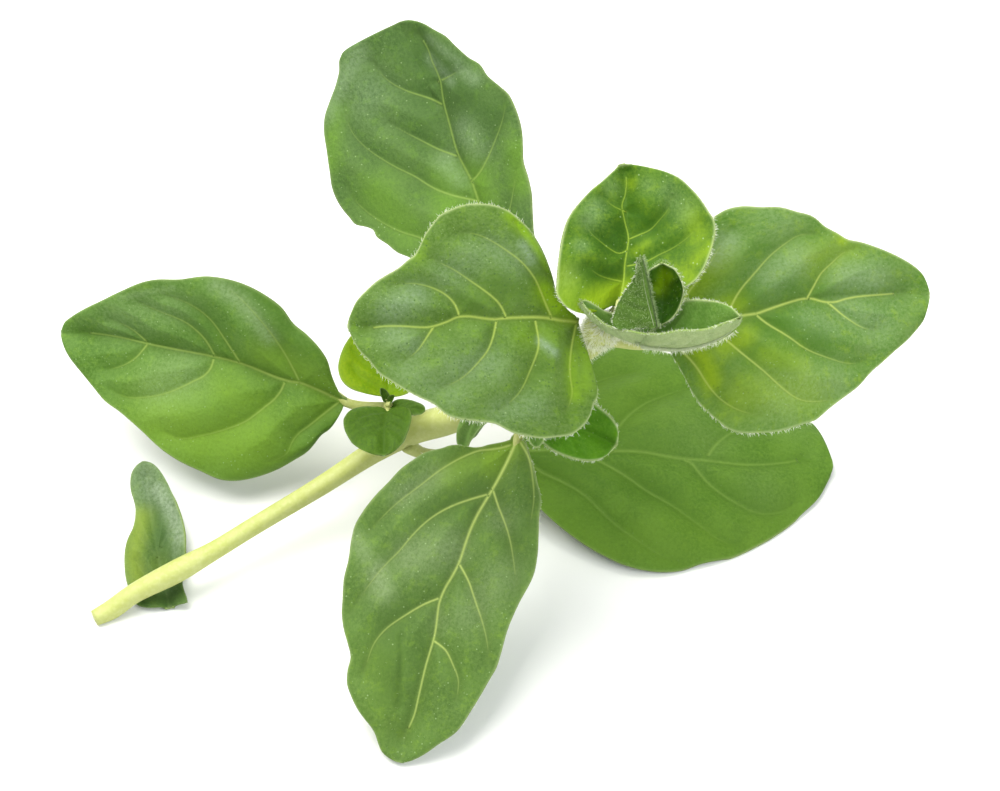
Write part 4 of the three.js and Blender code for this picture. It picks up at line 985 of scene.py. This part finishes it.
def make_leaf(name, leaf):
    blade = Blade(leaf)
    make_blade(name + "_blade", name, blade, GROWN_GRID, [SKINS[name], under_skin, rim_skin])

    bm = bmesh.new()
    (before, _), (node, radius), (after, _) = STEM[leaf["node"] - 1:leaf["node"] + 2]
    axis = unit(np.array(after) - before)
    outward = blade.frame([leaf.get("join", 0)])[0][0] - node
    outward = unit(outward - outward.dot(axis) * axis)
    root = np.array(leaf.get("root", node + outward * radius * 0.6))
    make_keel(bm, blade, root, outward)
    finish_piece(bm, name + "_petiole", name, [rib_skin if name == "leaf_0" else stem_skin])

    bm = bmesh.new()
    make_ribs(bm, blade)
    finish_piece(bm, name + "_ribs", name, [rib_skin])

    bm = bmesh.new()
    make_veins(bm, blade, *skin_layers(bm))
    finish_piece(bm, name + "_veins", name, [SKINS[name]])

    if name in FRINGES:
        per_mm, length, face_hairs = FRINGES[name]
        bm = bmesh.new()
        fringe(bm, blade, per_mm, length)
        finish_piece(bm, name + "_hairs", name, [hair_skin], False)
        bm = bmesh.new()
        down(bm, blade, face_hairs, DOWN)
        finish_piece(bm, name + "_down", name, [down_skin], False)


# ---- Young shoots ----
def grown(leaf, stalk_radius):
    """Fills in a young leaf: where its half-widths lie, a midrib and three pairs of side veins."""
    stations = [50 * (1 - math.cos(math.pi * k / 8)) for k in range(1, 8)]
    length = math.dist(leaf["base"], leaf["tip"])
    midrib = [(0, 0), (50, 0.02 * length), (92, 0)]
    full = dict({"stalk": stalk_radius * 0.7, "faint": 0.5}, **leaf, midrib=midrib)
    for side in ("left", "right"):
        wide = max(leaf[side])
        full[side] = list(zip(stations, leaf[side]))
        full["veins_" + side] = [
            [(length * a, 0.02 * length), (length * (a + 0.09), wide * 0.35),
             (length * (a + 0.2), wide * 0.62), (length * (a + 0.3), wide * 0.75)]
            for a in (0.08, 0.28, 0.48)]
    return full


def make_shoot(shoot):
    name, slot, radius = shoot["name"], shoot["slot"], shoot["radius"]
    stalk_path, share = path_through(shoot["stalk"], 24)
    stalks = bmesh.new()
    tube(stalks, stalk_path, radius * (1.1 - 0.35 * share), 14, up=(0.3, -1, 0.0))
    hairs = bmesh.new()
    short = bmesh.new()
    downy = name == "shoot_tip"
    for k, leaf in enumerate(shoot["leaves"]):
        blade = Blade(grown(leaf, radius))
        tint = leaf["tint"]
        under = UNDERSIDES.get(tint, under_skin)
        make_blade("%s_leaf_%d" % (name, k + 1), name, blade, YOUNG_GRID,
                   [SKINS[tint], under, under if tint in BARE_RIMS else rim_skin])
        make_keel(stalks, blade, blade.base - blade.along * 0.4, blade.along)
        if "fringe" in leaf:
            above, below = DOWNY_FACES if downy else YOUNG_FACES
            fringe(hairs, blade, leaf["fringe"], YOUNG_FRINGE)
            down(short, blade, above, YOUNG_DOWN)
            down(short, blade, below, 2 * YOUNG_DOWN, -1)
        if tint == "downy":
            # A beard hangs from the keel.
            t, v = blade.along_midrib(rng.uniform(0.02, 0.9, BEARD))
            for place, up in zip(blade.surface(t, v), blade.normal(t, v)):
                hair(hairs, place - up * 0.45, rng.normal(0, 0.45, 3) - up, rng.uniform(0.25, 0.6))
    if downy:
        fuzz(hairs, stalk_path, np.full(24, radius * 0.8), STALK_HAIRS, lambda: rng.integers(24),
             lambda ahead: rng.normal(0, 0.3, 3), (0.2, 0.6))
    finish_piece(stalks, name + "_stalk", name, [tip_stalk_skin if downy else stem_skin])
    for bm, kind, skin in ((hairs, "_hairs", hair_skin), (short, "_down", down_skin)):
        if len(bm.verts):
            finish_piece(bm, name + kind, name, [skin], False)
        else:
            bm.free()


# ---- Camera, floor and light, in metres ----
CAMERA = (0.0394, -0.16234, 0.228)
CAMERA_TILT = 40  # degrees from looking straight down
LENS, SENSOR = 100, 36  # mm
SKY = 0.72  # strength of the soft light from all round
SOFTBOX = 0.50  # side of each softbox
SOFTBOXES = (  # place, watts and tint
    ("key softbox", (-0.16, 0.12, 0.54), 6.2, "#fffdf8"),
    ("fill softbox", (0.45, -0.35, 0.50), 3.0, "#f7fbff"),
)
AIM = (0.035, 0.01, 0.01)  # where both softboxes point


def make_stage():
    scene = bpy.context.scene
    camera = bpy.data.objects.new("camera", bpy.data.cameras.new("camera"))
    camera.data.lens = LENS
    camera.data.sensor_width = SENSOR
    camera.data.sensor_fit = "HORIZONTAL"
    camera.data.clip_start, camera.data.clip_end = 0.01, 10
    camera.location = CAMERA
    camera.rotation_euler = (math.radians(CAMERA_TILT), 0, 0)
    scene.collection.objects.link(camera)
    scene.camera = camera

    bm = bmesh.new()
    bmesh.ops.create_grid(bm, x_segments=1, y_segments=1, size=2)
    mesh = bpy.data.meshes.new("floor")
    bm.to_mesh(mesh)
    bm.free()
    floor = bpy.data.objects.new("floor", mesh)
    scene.collection.objects.link(floor)
    paper, tree = new_material("white card")  # matt and almost white, with soft shadows
    card = {"Base Color": colour("#e6e7e6"), "Roughness": 0.9, "Specular IOR Level": 0.1}
    add(tree, "OutputMaterial", {"Surface": add(tree, "BsdfPrincipled", card)})
    mesh.materials.append(paper)

    world = bpy.data.worlds.new("studio")
    world.use_nodes = True
    tint, strength = world.node_tree.nodes["Background"].inputs[:2]
    tint.default_value, strength.default_value = colour("#f8f9f7"), SKY
    scene.world = world
    for name, place, watts, tint in SOFTBOXES:
        lamp = bpy.data.lights.new(name, "AREA")
        lamp.size = SOFTBOX
        lamp.energy = watts
        lamp.color = colour(tint)[:3]
        light = bpy.data.objects.new(name, lamp)
        light.location = place
        light.rotation_euler = (Vector(AIM) - Vector(place)).to_track_quat("-Z", "Y").to_euler()
        scene.collection.objects.link(light)
    scene.view_settings.view_transform = "Standard"


make_stage()
make_stem()
for name, leaf in LEAVES.items():
    make_leaf(name, leaf)
for shoot in SHOOTS:
    make_shoot(shoot)
